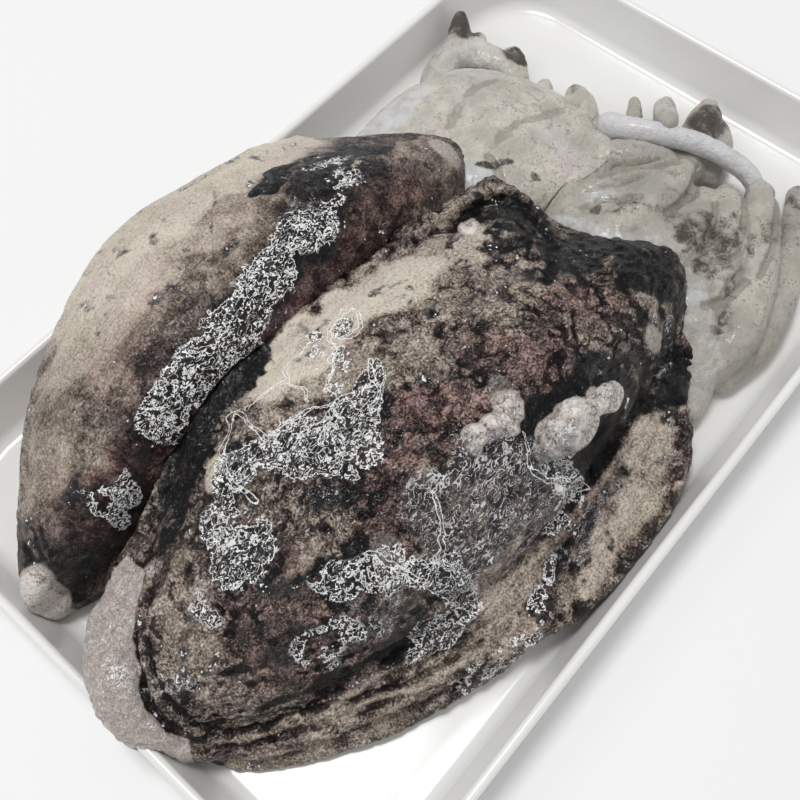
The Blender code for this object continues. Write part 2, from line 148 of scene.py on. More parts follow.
# Limbs: x, y, z and radius along each one.
FRONT_LIMBS = {
    "wide_arm": ((52, -18, 20, 9), (62, -22, 21.5, 10), (75, -24, 21, 9.8), (87, -23.5, 19.5, 8.6),
                 (96, -22, 18.5, 6.4), (100, -21.5, 17.5, 4)),
    "wide_arm_side": ((58, -40, 20, 10), (70, -39, 20.5, 10), (82, -37, 19, 8.5),
                      (93, -33.5, 17, 5)),
    "second_arm": ((56, -55, 17, 10), (66, -54, 19, 9.5), (77, -50, 20, 8.8), (88, -44.5, 19.5, 8),
                   (97, -40, 18, 6), (101, -37.5, 17, 3.5)),
    "third_arm": ((44, -69, 14, 7), (54, -70.5, 16.5, 7.4), (66, -68, 17.5, 7.2),
                  (80, -62.5, 17.5, 7), (96, -54, 17.5, 6.6), (107, -47.5, 16, 5.6),
                  (112, -44, 14.5, 3.5)),
    "outer_arm": ((46, -74, 8.5, 5.5), (62, -76, 9.5, 6), (76, -74, 10, 6.2), (88, -70, 10.5, 6.2),
                  (102, -65, 10.5, 5.8), (114, -60, 9.5, 5), (122, -55, 9, 3.6)),
    "inner_arm": ((52, -6, 17, 9), (64, -3, 16, 9), (78, 2, 14, 8), (88, 4, 12, 6)),
    "eye_fold": ((64, -2, 21.5, 3.4), (70, -5.5, 24, 3.5), (77, -9.5, 25.2, 3.4),
                 (84, -14.5, 25, 3.1), (92, -18, 23.5, 2.6)),
    "collar_swelling": ((58, -47, 19, 9), (51, -55, 19.5, 9), (44, -63, 15.5, 8),
                        (36, -69, 10.5, 7), (29, -73, 8.5, 4.5)),
    "short_tip": ((106, 3, 8.5, 3), (114, 7.5, 10.5, 3.1), (121, 12, 9.5, 2.2)),
    "round_tip": ((104, -9, 10, 5), (117, -3.5, 11, 4.8), (126, 2, 10, 3.6)),
    "broad_tip": ((104, -20, 12, 7), (117, -16.5, 12.5, 7), (127, -13.5, 12, 6.2),
                  (134, -11, 10.5, 4)),
    "broad_tip_side": ((110, -27, 9, 6), (121, -23, 9.5, 6), (129, -19, 9, 4)),
    "tentacle_stump": ((85, 6.5, 14.5, 5.4), (89.5, -0.5, 17.2, 6.2), (94, -8, 18, 6.0),
                       (99, -14.5, 17, 4.6)),
    "stump_bed": ((92, 3, 9, 6), (99, -4, 10, 6.6), (104, -12, 10, 6)),
    "raised_finger": ((122, 1.5, 13, 3.2), (115.5, -2.5, 18, 4.0), (109.5, -6.5, 23, 4.0),
                      (106, -9, 26, 3.0)),
}
TENTACLES = {
    "long_tentacle": ((98, 9, 19.5, 4.4), (98.6, 3, 21.3, 4.3), (101.5, -5, 22.5, 4.0),
                      (105.5, -13.5, 22.5, 3.8), (109, -21.5, 21.5, 3.7), (111.5, -30.5, 19.5, 3.6),
                      (113, -38.5, 16.5, 3.5), (112, -44, 13, 3.2)),
}
BACK_LIMBS = {
    "thick_arm": ((76, 70, 9, 6), (84, 74.5, 9.5, 6.5), (92, 76, 10, 6.5), (99, 73.5, 10, 6.5),
                  (102, 67, 9.5, 6.2), (103.5, 59, 8.5, 5.8), (103, 52, 8, 4.5)),
    "brown_tip": ((98, 77, 12, 5), (104, 81, 13.5, 4.4), (108, 84, 15.5, 2.8)),
    "brown_tip_side": ((100, 74, 12, 4.5), (107, 74, 11, 3.2)),
    "brown_arm": ((111, 63, 9.5, 1.7), (111.5, 60.5, 10.5, 2.1), (110, 56.5, 10, 2.4),
                  (104.5, 51, 8.5, 2.6)),
    "far_fold": ((70, 67, 13, 4), (80, 66.5, 14.5, 4.2), (87, 61, 15, 4.2), (92, 53, 14.5, 4.2),
                 (97, 46, 13, 4)),
    "small_tip": ((96, 36, 10, 5.5), (102, 39.5, 9, 4.5), (107, 42.5, 8, 3.2)),
    "long_tip": ((84, 13, 13, 8), (95, 18.5, 12.5, 7), (104, 24, 11.5, 6), (110, 30.5, 9.5, 4)),
    "near_fold": ((72, 5, 13, 9), (86, 6, 13, 8), (96, 9, 12, 6), (102, 14, 10, 4)),
    "skirt": ((32, 66, 22, 5), (46, 67.5, 17, 6), (60, 64.5, 14, 6), (70, 60, 14, 5)),
    "neck": ((46, 46, 20, 8), (47, 36, 21, 9), (46, 26, 20, 9), (44, 17, 18, 8)),
}

# ---- patches of skin: x, y, half length, half width, turn in degrees, strength --------
FRONT_INK = (
    (52, -18, 9, 6, 0, 1.0), (47, -33, 14, 9, -60, 1.0), (40, -42, 12, 8, -40, 0.9),
    (28, -24, 9, 6, -20, 0.9), (37, -22, 9, 8, 0, 0.7), (46, -50, 9, 5, -50, 0.8),
    (34, -61, 10, 6, -40, 0.9), (24, -66, 9, 5, 0, 0.8), (44, -44, 6, 8, 30, 0.5),
    (-70, 23, 24, 5, 2, 1.0), (-92, 16, 12, 4, 25, 0.8), (-106, 11, 10, 3, 30, 0.5),
    (-75, 0, 5, 3.5, 40, 0.6), (-66, -8, 12, 6, -54, 0.6), (-73, -23, 9, 3, -50, 0.55),
    (-48, -14, 6, 3, 40, 0.6), (-98, -15, 9, 4, 30, 0.55), (-92, -28, 12, 4, -40, 0.5),
    (-85, -34, 9, 5, -50, 0.8), (-70, -51, 9, 4, -40, 0.8), (-33, -45, 9, 3, -50, 0.6),
    (-24, -48, 7, 5, 0, 1.0), (-26, -58, 6, 5, 0, 0.9), (-12, -63, 14, 3, 0, 0.8),
    (-12, -49, 12, 4, -10, 0.9), (2, -52, 9, 6, -30, 0.8), (10, -60, 12, 4, -20, 0.7),
    (-36, -85, 4, 2, 40, 0.55), (-26, -72, 5, 2.5, 0, 0.6), (-23, -79, 4, 1.6, 60, 0.5),
    (28, 12, 10, 2.4, -14, 0.8), (36, 2, 4, 9, 10, 0.7), (29, -14, 9, 3, 40, 0.7),
    (26, -1, 10, 9, 0, 0.72), (20, -6, 8, 5, -30, 0.50),
    (-50, -76, 6, 3, 0, 0.7), (-10, -70, 7, 3, 0, 0.55), (16, -68, 5, 3, 0, 0.5),
    (4, -2, 4.5, 3.2, 0, 0.44), (-6, -12, 5, 2.4, -30, 0.44), (-14, -5, 3.5, 2.5, 0, 0.40),
    (14, -21, 6, 3, -30, 0.5), (-2, -34, 5, 4, 0, 0.35), (26, -12, 3, 10, 20, 0.42),
    (12, 9, 6, 1.6, 10, 0.5), (-86, -54, 10, 5, -20, 0.55), (-104, -38, 14, 6, -40, 0.5),
    (-110, -30, 8, 6, 0, 0.42), (-96, -44, 10, 5, -30, 0.5), (-80, -58, 8, 3, -20, 0.5),
    (30, -8, 7, 8, 0, 0.44), (24, 4, 8, 5, 0, 0.36), (34, 2, 3, 9, 10, 0.5),
    (-30, -20, 10, 4, -50, 0.3),
)
FRONT_PALE = (
    (-40, 14, 26, 8, 2, 0.60), (-16, 9, 20, 9, -10, 0.56), (8, 4, 18, 9, -30, 0.34),
    (0, -12, 24, 10, -40, 0.18), (22, 16, 16, 2, -10, 0.24),
    (-14, -28, 14, 8, -50, 0.16), (-38, -26, 12, 7, -50, 0.14), (-50, -36, 8, 6, 0, 0.12),
    (-120, -14, 14, 9, 60, 0.22), (-113, 2, 12, 5, -20, 0.18), (-88, 7, 5, 4, 0, 0.42),
    (-88, -24, 6, 4, 0, 0.24), (-12, -24, 8, 6, 0, 0.16), (30, -44, 6, 8, 0, 0.12),
    (2, -74, 18, 9, 10, 0.34), (-22, -80, 24, 6, 4, 0.36), (-56, -70, 18, 8, 8, 0.26),
    (-82, -68, 26, 5, -14, 0.22), (-126, -50, 18, 5, -40, 0.26), (-46, 4, 12, 9, 0, 0.30),
    (-66, 6, 9, 7, 30, 0.16), (-30, -8, 12, 8, -40, 0.16), (14, -44, 12, 7, -40, 0.10),
)
FRONT_PLUM = (
    (-38, -30, 16, 10, -54, 0.9), (-60, -30, 14, 9, 40, 0.9), (-72, -36, 10, 7, 0, 0.8),
    (-10, -34, 20, 9, -50, 0.7), (16, -34, 14, 9, -40, 0.6), (-104, -36, 20, 12, -40, 0.6),
    (-96, -20, 12, 10, 0, 0.5), (-24, -66, 20, 4, 0, 0.5), (-20, -46, 10, 6, 0, 0.8),
)
# Where the skin is wet: the coat lies here, and the film's painted highlights are drawn here.
FRONT_FILM = (
    (-33, 11, 4, 3, 0, 1.0), (-45, 12, 8, 3, 30, 0.42), (-46, 3, 9, 4, 40, 0.42),
    (-83, 3, 9, 6, 20, 0.85), (-68, -8, 14, 8, -54, 1.0), (-56, -12, 9, 7, 40, 1.0),
    (-45, -9, 8, 3.5, 40, 0.9), (-98, -13, 9, 7, 0, 0.95), (-96, -3, 7, 5, 0, 0.7),
    (-85, -37, 9, 5, -54, 0.85), (-77, -43, 7, 5, 0, 0.8), (-69, -54, 9, 5, -54, 1.0),
    (-75, -61, 13, 2.5, -13, 0.9), (-47, -74, 9, 2, 10, 0.8), (-24, -61, 6, 5, 0, 0.7),
    (-60, -20, 8, 6, 0, 0.5), (-112, -14, 6, 8, 0, 0.30), (-100, -42, 9, 5, -20, 0.45),
    (-136, -12, 14, 4, -60, 0.26), (-70, -76, 24, 3, -8, 0.34), (-30, -66, 12, 2, 0, 0.36),
)
FRONT_NET = (
    (-48, -49, 20, 13, -20, 1.0), (-28, -60, 12, 4, 10, 0.9), (-58, -58, 14, 7, 0, 0.9),
    (-34, -54, 10, 8, 0, 0.9), (-20, -72, 14, 4, 8, 0.5), (30, -56, 8, 8, 0, 0.6),
    (-86, -46, 10, 5, -20, 0.6), (-30, -72, 16, 4, 0, 0.5),
)
FRONT_FLESH = (
    (-37, -39, 3.4, 3.0, 0, 1.0), (-33, -40.5, 4.0, 3.6, 0, 1.0), (-29, -43, 3.6, 3.4, 0, 1.0),
    (-25, -40, 4.4, 4.4, 0, 0.9), (-22.5, -35, 3.4, 4.2, 0, 0.34), (-40, -40.5, 2.4, 2.2, 0, 0.7),
    (25, -54, 4.0, 3.4, 0, 0.52), (18, 8, 5.0, 3.0, 40, 0.92), (-74, -40, 5, 5, 0, 0.34),
)
BACK_INK = (
    (-17, 57, 5, 4, 0, 1.0), (-6, 58, 9, 4, -10, 0.9), (5, 55, 11, 4, -25, 1.0),
    (17, 49, 11, 4, -35, 0.95), (-3, 47, 13, 7, -20, 0.8), (9, 43, 11, 5, -30, 0.7),
    (-13, 37, 14, 5, -10, 0.8), (-30, 34, 17, 6, -6, 0.85), (-48, 31, 17, 6, 4, 0.8),
    (-66, 29, 16, 5, 4, 0.7), (-82, 28, 10, 4, 0, 0.6), (22, 34, 8, 4, -20, 0.42),
    (-128, 28, 8, 7, 0, 0.6), (-118, 34, 10, 5, 20, 0.42), (-132, 40, 7, 10, 0, 0.42),
    (-106, 26, 12, 4, 0, 0.5), (34, 44, 5, 4, 0, 0.42), (-40, 48, 7, 4, 0, 0.36),
)
BACK_PALE = (
    (-30, 78, 66, 18, 0, 0.56), (-10, 74, 30, 14, -10, 0.56), (-66, 66, 40, 16, 8, 0.44),
    (32, 36, 12, 12, 30, 0.24), (10.7, 43.3, 3.6, 2.8, 0, 0.9), (-112, 54, 18, 16, 0, 0.30),
    (-56, 54, 58, 12, 0, 0.26), (20, 28, 16, 7, 0, 0.16), (-30, 60, 26, 10, 0, 0.36),
    (-100, 42, 18, 9, 20, 0.16), (-122, 42, 12, 10, 0, 0.16),
)
BACK_PLUM = (
    (-30, 27, 50, 7, 2, 0.9), (12, 33, 14, 7, 0, 0.5), (-100, 28, 26, 8, 0, 0.9),
    (-80, 48, 20, 8, 10, 0.4), (-120, 34, 14, 10, 0, 0.5),
)
# Where the skin is wet: the coat lies here, and the film's painted highlights are drawn here.
BACK_FILM = (
    (-9, 38, 7, 4, 0, 0.55), (-22, 37, 12, 6, -8, 0.95), (-38, 35, 13, 6, 0, 1.0),
    (-54, 32, 13, 7, 4, 1.0), (-70, 30, 13, 6, 4, 1.0), (-84, 30, 8, 5, 0, 0.9),
    (0, 43, 8, 5, 0, 0.42), (-104, 27, 4, 3, 0, 0.7), (-111, 27, 4, 3, 0, 0.7),
    (2, 53, 12, 3, -20, 0.35),
)
BACK_NET = ((-8, 44, 14, 5, -10, 0.5), (-44, 40, 30, 3, -4, 0.5))
BACK_FLESH = ((-142, 31, 8, 6, 0, 1.0), (39, 35, 4, 7, 0, 0.5))
FRONT_HEAD_STAIN = (
    (74, -45, 13, 9, -40, 0.66), (68, -40, 5, 3.5, 0, 0.78), (66, -52, 8, 6, -40, 0.60),
    (83, -50, 9, 5, -40, 0.50), (66, -18, 9, 6, -50, 0.46), (60, -12, 3, 2, 0, 0.7),
    (75, -30, 10, 6, 0, 0.42), (124, -17, 10, 7, 0, 0.9), (118, -58, 8, 4, 20, 0.6),
    (59, -63, 9, 3, 20, 0.5), (90, -58, 14, 5, -20, 0.36), (104, -62, 12, 5, -15, 0.36),
    (48, -64, 6, 2, -50, 0.5), (64, -42, 2, 1.6, 0, 0.8), (76, -50, 3, 2, 0, 0.8),
)
FRONT_HEAD_WHITE = (
    (51, -12, 3.2, 14, 15, 0.8), (57, -32, 3.4, 10, 20, 0.6), (55, -51, 4, 8, -40, 0.6),
    (47, -61, 5, 8, -40, 0.55), (40, -68, 7, 5, 30, 0.50), (34, -72, 7, 5, 0, 0.50),
    (46, -2, 5, 7, 0, 0.8), (66, -9, 5, 2.5, -40, 0.8), (106, -10, 10, 22, 0, 0.35),
)
BACK_HEAD_STAIN = (
    (106, 81, 9, 7, 30, 1.0), (109, 58, 6, 6, 0, 0.9), (52, 25, 7, 2, -35, 0.9),
    (110, 29, 5, 4, 0, 0.4), (60, 12, 2, 2, 0, 0.7), (107, 43, 3, 3, 0, 0.4),
)
BACK_HEAD_WHITE = (
    (45, 24, 5, 16, 10, 0.9), (95, 66, 16, 14, 0, 0.6), (48, 66, 20, 7, 0, 0.8),
    (66, 50, 8, 8, 0, 0.3),
)

# ---- lines on the skin: height or depth, half width, then the points in plan ------------
RIGHT_GROOVE = ((27, -71), (20, -66), (13.6, -62.5), (2.4, -63), (-10, -64.3), (-21, -65.3),
                (-31, -65.5), (-39, -65), (-55, -63.5), (-66, -61.5), (-75, -59), (-87, -55.5),
                (-98, -51), (-108, -46.5))
LOBE_GROOVE = ((-117, 8), (-121.5, 5.5), (-126, 1.5), (-131.6, -2.5), (-135, -6.5), (-138.3, -12),
               (-141, -17), (-142, -23), (-140, -29), (-136, -34))
LEFT_CREASE = ((-78, 20), (-87, 17), (-95, 13), (-102, 8.4), (-112, 3.7), (-121, 0), (-129, -6))
LOW_FOLD = ((-140, -28), (-124, -39.5), (-106, -51), (-94, -61.5), (-84, -66), (-70, -70))
LOWER_FOLD = ((-139, -32.5), (-119, -48), (-104, -58), (-92, -66.5), (-80, -71))


def beside(path, dx, dy):
    """A path moved sideways in plan."""
    return tuple((x + dx, y + dy) for x, y in path)


FRONT_LINES = (
    (-1.6, 1.3, RIGHT_GROOVE),
    (1.0, 0.9, beside(RIGHT_GROOVE, 0, -3.0)),
    (-2.6, 1.2, LOBE_GROOVE),
    (1.0, 1.2, beside(LOBE_GROOVE, 3.2, 0.8)),
    (-0.9, 0.9, beside(LOBE_GROOVE, 5.4, 1.2)),
    (-1.2, 1.4, LEFT_CREASE),
    (-1.3, 1.1, LOW_FOLD),
    (0.8, 1.1, beside(LOW_FOLD, 0, -2.6)),
    (-1.3, 1.1, LOWER_FOLD),
    (-1.3, 1.4, ((14, 12), (24, 12.5), (32, 10.5), (36.5, 4), (36, -5), (30, -14), (21, -21),
                 (13, -23))),
    (-1.2, 0.7, ((-35.4, -44), (-35, -40), (-34.4, -36))),
    (-1.2, 0.7, ((-31.6, -47), (-31, -42), (-30, -37), (-31, -34))),
    (-1.2, 0.7, ((-27, -46), (-26.6, -43), (-28, -38), (-22, -38))),
    (-1.0, 0.7, ((-20, -42), (-24, -37), (-25, -32))),
    (-1.0, 0.7, ((-11, -50), (-9.4, -55), (-10, -61))),
    (-0.8, 0.6, ((-24, -49), (-22, -54), (-23, -60))),
    (-0.8, 1.0, ((22, 8), (27, 1), (26, -8), (20, -14))),
    (-0.7, 0.9, ((30, 7), (31, -1), (29, -9))),
    (-1.6, 1.8, ((-27, -49), (-20, -48), (-12, -48.5), (-5, -51), (1, -53))),
    (-2.2, 2.2, ((-28, -52), (-28, -58), (-22, -62), (-14, -62.5), (-6, -62), (1, -60))),
    (0.9, 0.9, ((-31, -51), (-31.5, -59), (-25, -64.6), (-14, -65))),
    (-1.0, 1.6, ((16, -54), (24, -60), (33, -56), (38, -48))),
    (-0.8, 1.2, ((-45, -84), (-38, -78), (-36, -72))),
    (-0.8, 1.2, ((-66, -74), (-60, -72), (-56, -76))),
    (-0.9, 1.0, ((10, -71), (-4, -73), (-18, -74))),
    (-0.8, 0.9, ((6, -80), (-8, -81), (-24, -82.5))),
)
BACK_LINES = (
    (0.7, 0.8, ((-24, 76), (-12, 75), (0, 74), (14, 74))),
    (-0.6, 1.0, ((-26, 73), (-12, 72), (0, 71), (12, 71))),
    (0.6, 0.9, ((-70, 76), (-52, 80), (-34, 82))),
    (-0.8, 1.2, ((-134, 24), (-136, 32), (-134, 40))),
)
FRONT_HEAD_LINES = (
    (-1.3, 1.2, ((59, -8), (65, -10.5), (68, -15.5), (71, -20.5))),
    (0.8, 1.0, ((57, -10), (63, -13), (65.5, -18), (68, -24))),
    (-0.9, 1.1, ((72, -30), (80, -31), (88, -30), (94, -28))),
    (-0.9, 1.0, ((60, -46), (70, -46), (80, -43), (88, -39))),
    (-0.7, 0.9, ((66, -52), (70, -55), (76, -56))),
    (-0.6, 0.8, ((60, -60), (66, -59), (72, -60))),
    (-1.8, 1.3, ((85, -31.5), (92, -29.5), (100, -27))),
    (-1.6, 1.1, ((84, -52), (93, -48), (104, -41))),
    (-1.4, 1.0, ((74, -65), (86, -62.5), (98, -57), (110, -51))),
    (-1.2, 1.1, ((72, -5), (80, -10), (87, -16), (94, -20))),
    (-1.2, 1.0, ((52, -58), (60, -62), (70, -63))),
)
BACK_HEAD_LINES = (
    (-1.4, 1.2, ((54, 28), (53, 24), (50.5, 20))),
    (-0.7, 1.4, ((56, 46), (66, 50), (76, 52), (86, 50))),
    (-0.6, 1.4, ((62, 30), (72, 30), (82, 26), (90, 24))),
    (0.6, 1.6, ((50, 58), (60, 56), (70, 50))),
)
# Single lumps: x, y, radius, height.
FRONT_HEAD_LUMPS = (
    (46, -64, 4, 1.0), (40, -67, 3.4, 0.9), (52, -6, 3, 0.8), (49, -12, 3, 0.6), (74, -12, 5, 0.8),
    (63, -30, 6, 0.8), (78, -28, 6, 0.6), (88, -26, 5, 0.7), (84, -42, 5, 0.7),
)
BACK_LUMPS = ((-142, 31, 5, 0.8), (10, 44, 4, 0.5), (-60, 60, 14, 0.8), (-96, 50, 12, 0.8))
BACK_STRANDS = ((-60, 70, 60, 14, 6, 0.4), (-10, 80, 30, 6, -10, 0.7), (-120, 48, 20, 12, 60, 0.4))
FRONT_LUMPS = (
    (33, -45, 2.0, 0.9), (35, -40, 1.8, 0.8), (44, -43, 2.0, 0.9), (45, -47, 1.8, 0.8),
    (38, -45, 1.8, 0.8), (40, -38, 2.0, 0.8), (25, -54, 4.4, 1.8),
    (-88, 7, 5.5, 1.6), (-37, -39, 3.0, 1.2), (-33, -40.5, 3.2, 1.5), (-29, -43, 3.0, 1.5),
    (-25, -40, 3.2, 1.3), (-22.5, -35, 3.0, 1.0), (27, 3, 9, 2.4), (24, -9, 8, 1.8),
    (-88, -24, 6, 1.4), (-96, -30, 7, 0.9), (14, 2, 5, 0.5), (-2, -22, 6, 0.6),
    (-20, 6, 7, 0.5), (46, -36, 4, 0.9), (32, -44, 5, 0.9), (-84, -43, 4, 0.9),
    (-72, -38, 5, 0.8), (-108, -28, 6, 0.8), (-60, -36, 6, 0.6),
)
# Bundles of long fine folds: x, y, half length, half width, turn, strength.
FRONT_STRANDS = (
    (-112, -46, 34, 13, -36, 1.6), (-56, -72, 36, 9, 8, 1.1), (4, -74, 26, 10, 14, 0.9),
    (-104, 12, 22, 5, 30, 0.8), (-84, -60, 30, 9, -16, 1.4),
)

# The pale ridged knob in the front mantle: x, y, z and radius along it.
KNOB = ((-25.5, -54, 48, 3.8), (-21, -54.6, 49.6, 6.2), (-16, -55.2, 50, 6.8),
        (-11.5, -55.6, 49.6, 5.4), (-8.5, -56, 48.6, 3.1), (-6, -56.5, 48.4, 3.6),
        (-3.4, -57, 48.4, 4.9), (-0.5, -57.2, 47.6, 3.8))

# The rolled free edge of the left fin, which turns on round the front corner of the mantle.
LEFT_EDGE = ((-52, 23, 47, 2.4), (-43, 22.5, 47.4, 3.0), (-33, 22, 46.6, 3.1), (-22, 21.5, 45, 3.1),
             (-10, 21.2, 42.8, 3.0), (2, 20.5, 42.0, 2.8), (13.5, 18.8, 41.8, 2.7),
             (21, 17.2, 41.8, 2.2), (27, 16.2, 41.8, 1.9), (33.5, 14.5, 41.0, 1.7),
             (39, 11.6, 39.2, 1.6), (41, 5.5, 38.4, 1.6), (38.5, -4.5, 39.3, 1.6),
             (33, -11, 42.2, 1.5))

# The pale lobe at the front animal's tail end, as a closed outline in plan.
TAIL_LOBE = (*LOBE_GROOVE[:-1], (-146, -36), (-160, -30), (-160, 20), (-117, 14))
# Paler lines: extra tone, half width, then the points in plan.
FRONT_PALE_LINES = (
    (0.34, 1.5, LEFT_EDGE[:9]), (0.10, 1.2, LEFT_EDGE[8:]),
    (0.34, 1.4, beside(RIGHT_GROOVE, 0, -3.0)), (0.26, 1.2, beside(LOW_FOLD, 0, -2.6)),
    (0.30, 1.3, ((-78, -69), (-92, -64), (-108, -55), (-124, -45))),
)

# Painted highlights of the wet film, drawn as white lines: strength, half width, then the points in
# plan.
FRONT_GLINT_LINES = (
    (1.0, 0.8, ((-39, 11), (-35, 15), (-30, 16), (-27, 14), (-27, 10), (-31, 6), (-35, 6),
                (-38, 8))),
    (1.0, 0.6, ((-39, 11), (-42, 7), (-46, 4), (-50, 2), (-53, 0))),
    (1.0, 0.6, ((-42, 15), (-47, 15), (-51, 15), (-55, 13), (-57, 9), (-57, 5), (-58, 1))),
    (1.0, 0.7, ((-57, 11), (-61, 13), (-65, 14), (-69, 14))),
    (1.0, 0.7, ((-50, -6), (-53, -5), (-57, -6), (-61, -8), (-65, -10))),
    (1.0, 0.8, ((-39, -6), (-43, -8), (-45, -13), (-49, -14))),
    (1.0, 0.8, ((-72, 17), (-83, 11), (-87, 1), (-87, -7))),
    (1.0, 0.7, ((-71, 16), (-72, 9), (-72, 3), (-68, 2), (-62, -1), (-54, -4), (-50, -6))),
    (1.0, 0.7, ((-71, -6), (-63, -5), (-57, -7))),
    (1.0, 0.7, ((-78, -36), (-76, -44), (-72, -51), (-64, -50), (-55, -41))),
    (1.0, 0.8, ((-28, -47), (-32, -53), (-31, -59.5), (-25, -64.5), (-18, -66))),
)

# Tone is the skin's tone outside its paler patches, relief the depth of its wrinkles and
# contrast that of its mottling, both set against the settings' values.  Flesh areas are
# closed outlines in plan and flesh limbs are limbs, and both show bare flesh.
FRONT_LOOK = {"ink": FRONT_INK, "pale": FRONT_PALE, "plum": FRONT_PLUM, "film_and_glints": FRONT_FILM,
              "net": FRONT_NET, "flesh": FRONT_FLESH, "lines": FRONT_LINES, "lumps": FRONT_LUMPS,
              "strands": FRONT_STRANDS, "pale_lines": FRONT_PALE_LINES, "flesh_areas": (TAIL_LOBE,),
              "flesh_limbs": (KNOB,), "glint_lines": FRONT_GLINT_LINES,
              "tone": 0.42, "relief": 1.3, "contrast": 1.0}
BACK_LOOK = {"ink": BACK_INK, "pale": BACK_PALE, "plum": BACK_PLUM, "film_and_glints": BACK_FILM,
             "net": BACK_NET, "flesh": BACK_FLESH, "lines": BACK_LINES, "lumps": BACK_LUMPS,
             "strands": BACK_STRANDS, "pale_lines": (), "flesh_areas": (), "flesh_limbs": (),
             "glint_lines": (), "tone": 0.35, "relief": 0.55, "contrast": 0.65}
FRONT_HEAD_LOOK = {"stain": FRONT_HEAD_STAIN, "white": FRONT_HEAD_WHITE, "shade": 0.90,
                   "lines": FRONT_HEAD_LINES, "lumps": FRONT_HEAD_LUMPS}
BACK_HEAD_LOOK = {"stain": BACK_HEAD_STAIN, "white": BACK_HEAD_WHITE, "shade": 1.12,
                  "lines": BACK_HEAD_LINES, "lumps": ()}


# ---- numbers that vary smoothly in space --------------------------------------------
def lattice(cells, seed):
    """A repeatable value from -1 to 1 for each whole-numbered point, by mixing its bits."""
    mixed = cells[:, 0] * 73856093 ^ cells[:, 1] * 19349663 ^ cells[:, 2] * 83492791
    mixed = (mixed ^ (seed * 265443576)) & 0xFFFFFFFF
    mixed = ((mixed ^ (mixed >> 13)) * 1274126177) & 0xFFFFFFFF
    mixed = mixed ^ (mixed >> 16)
    return (mixed & 0xFFFF) / 32767.5 - 1.0


def noise(points, size, seed):
    """Smooth noise from -1 to 1 whose lumps have a size, at points."""
    turn = Matrix.Rotation(0.6 + seed, 3, (0.5, 0.7, 0.5))
    scaled = points @ np.array(turn) / size
    cells = np.floor(scaled).astype(np.int64)
    inside = scaled - cells
    inside = inside * inside * (3 - 2 * inside)
    total = np.zeros(len(points))
    for corner in itertools.product((0, 1), repeat=3):
        share = np.prod(np.where(corner, inside, 1 - inside), axis=1)
        total += share * lattice(cells + corner, seed)
    return total


def warped(points, size, amount, seed):
    """The points, pushed about by noise."""
    push = np.stack([noise(points, size, seed + axis) for axis in range(3)], axis=1)
    return points + amount * push


def soft_step(value, low, high):
    """0 below low, 1 above high and a smooth rise between."""
    t = np.clip((value - low) / (high - low), 0, 1)
    return t * t * (3 - 2 * t)


def turned(points, x, y, turn):
    """How far each point lies along and across an axis through (x, y), turned by degrees."""
    angle = math.radians(turn)
    dx = points[:, 0] - x
    dy = points[:, 1] - y
    return (dx * math.cos(angle) + dy * math.sin(angle),
            dy * math.cos(angle) - dx * math.sin(angle))


def patches(points, rows, ragged):
    """How deep in a set of oval patches each point lies, from 0 to 1, with ragged edges."""
    loose = warped(points, 7.0, ragged, 11)
    total = np.zeros(len(points))
    for x, y, along, across, turn, strength in rows:
        u, v = turned(loose, x, y, turn)
        inside = soft_step(PATCH_REACH - np.hypot(u / along, v / across), 0.0, PATCH_FADE)
        total = np.maximum(total, strength * inside)
    return total


def from_path(points, path):
    """Plan distance from each point to a broken line of (x, y)."""
    best = np.full(len(points), 1e9)
    for a, b in zip(path, path[1:]):
        start = np.array(a[:2], float)
        stride = np.array(b[:2], float) - start
        t = np.clip((points[:, :2] - start) @ stride / (stride @ stride), 0, 1)
        gap = points[:, :2] - (start + t[:, None] * stride)
        best = np.minimum(best, np.hypot(gap[:, 0], gap[:, 1]))
    return best


def bump_line(points, path, width):
    """1 on a broken line, falling to 0 past its width."""
    return np.exp(-(from_path(points, path) / width) ** 2)


def within(points, outline, soft):
    """1 inside a closed outline in plan and 0 outside it, with a soft edge."""
    x, y = points[:, 0], points[:, 1]
    inside = np.zeros(len(points), bool)
    for (ax, ay), (bx, by) in zip(outline, (*outline[1:], outline[0])):
        if ay != by:
            inside ^= ((ay > y) != (by > y)) & (x < ax + (y - ay) * (bx - ax) / (by - ay))
    edge = from_path(points, (*outline, outline[0]))
    return soft_step(np.where(inside, edge, -edge), -soft, soft)


def on_limb(points, rows, soft):
    """1 on and inside a limb given by x, y, z and radius, falling to 0 past its skin."""
    best = np.full(len(points), 1e9)
    for a, b in zip(rows, rows[1:]):
        start = np.array(a[:3], float)
        stride = np.array(b[:3], float) - start
        t = np.clip((points - start) @ stride / (stride @ stride), 0, 1)
        gap = np.linalg.norm(points - (start + t[:, None] * stride), axis=1)
        best = np.minimum(best, gap - (a[3] + (b[3] - a[3]) * t))
    return soft_step(soft - best, 0.0, soft)


# ---- meshes --------------------------------------------------------------------------
def add_object(name, mesh):
    """Puts a bmesh into the scene as an object, and frees it."""
    data = bpy.data.meshes.new(name)
    mesh.to_mesh(data)
    mesh.free()
    item = bpy.data.objects.new(name, data)
    bpy.context.scene.collection.objects.link(item)
    return item


def close_rings(mesh, rings):
    """Joins rings of points, in millimetres, into one closed skin."""
    loops = [[mesh.verts.new(Vector(point) * MM) for point in ring] for ring in rings]
    faces = []
    for ring, following in zip(loops, loops[1:]):
        for i in range(len(ring)):
            j = (i + 1) % len(ring)
            faces.append(mesh.faces.new((ring[i], ring[j], following[j], following[i])))
    for ring in (loops[0], loops[-1]):
        faces.append(mesh.faces.new(ring))
    bmesh.ops.recalc_face_normals(mesh, faces=faces)


def curve_through(values):
    """A smooth function through values at 0, 1, 2 and so on."""
    values = np.array(values, float)
    slopes = np.gradient(values)

    def at(t):
        i = min(int(t), len(values) - 2)
        f = t - i
        return ((2 * f ** 3 - 3 * f * f + 1) * values[i] + (f ** 3 - 2 * f * f + f) * slopes[i]
                + (3 * f * f - 2 * f ** 3) * values[i + 1] + (f ** 3 - f * f) * slopes[i + 1])

    return at


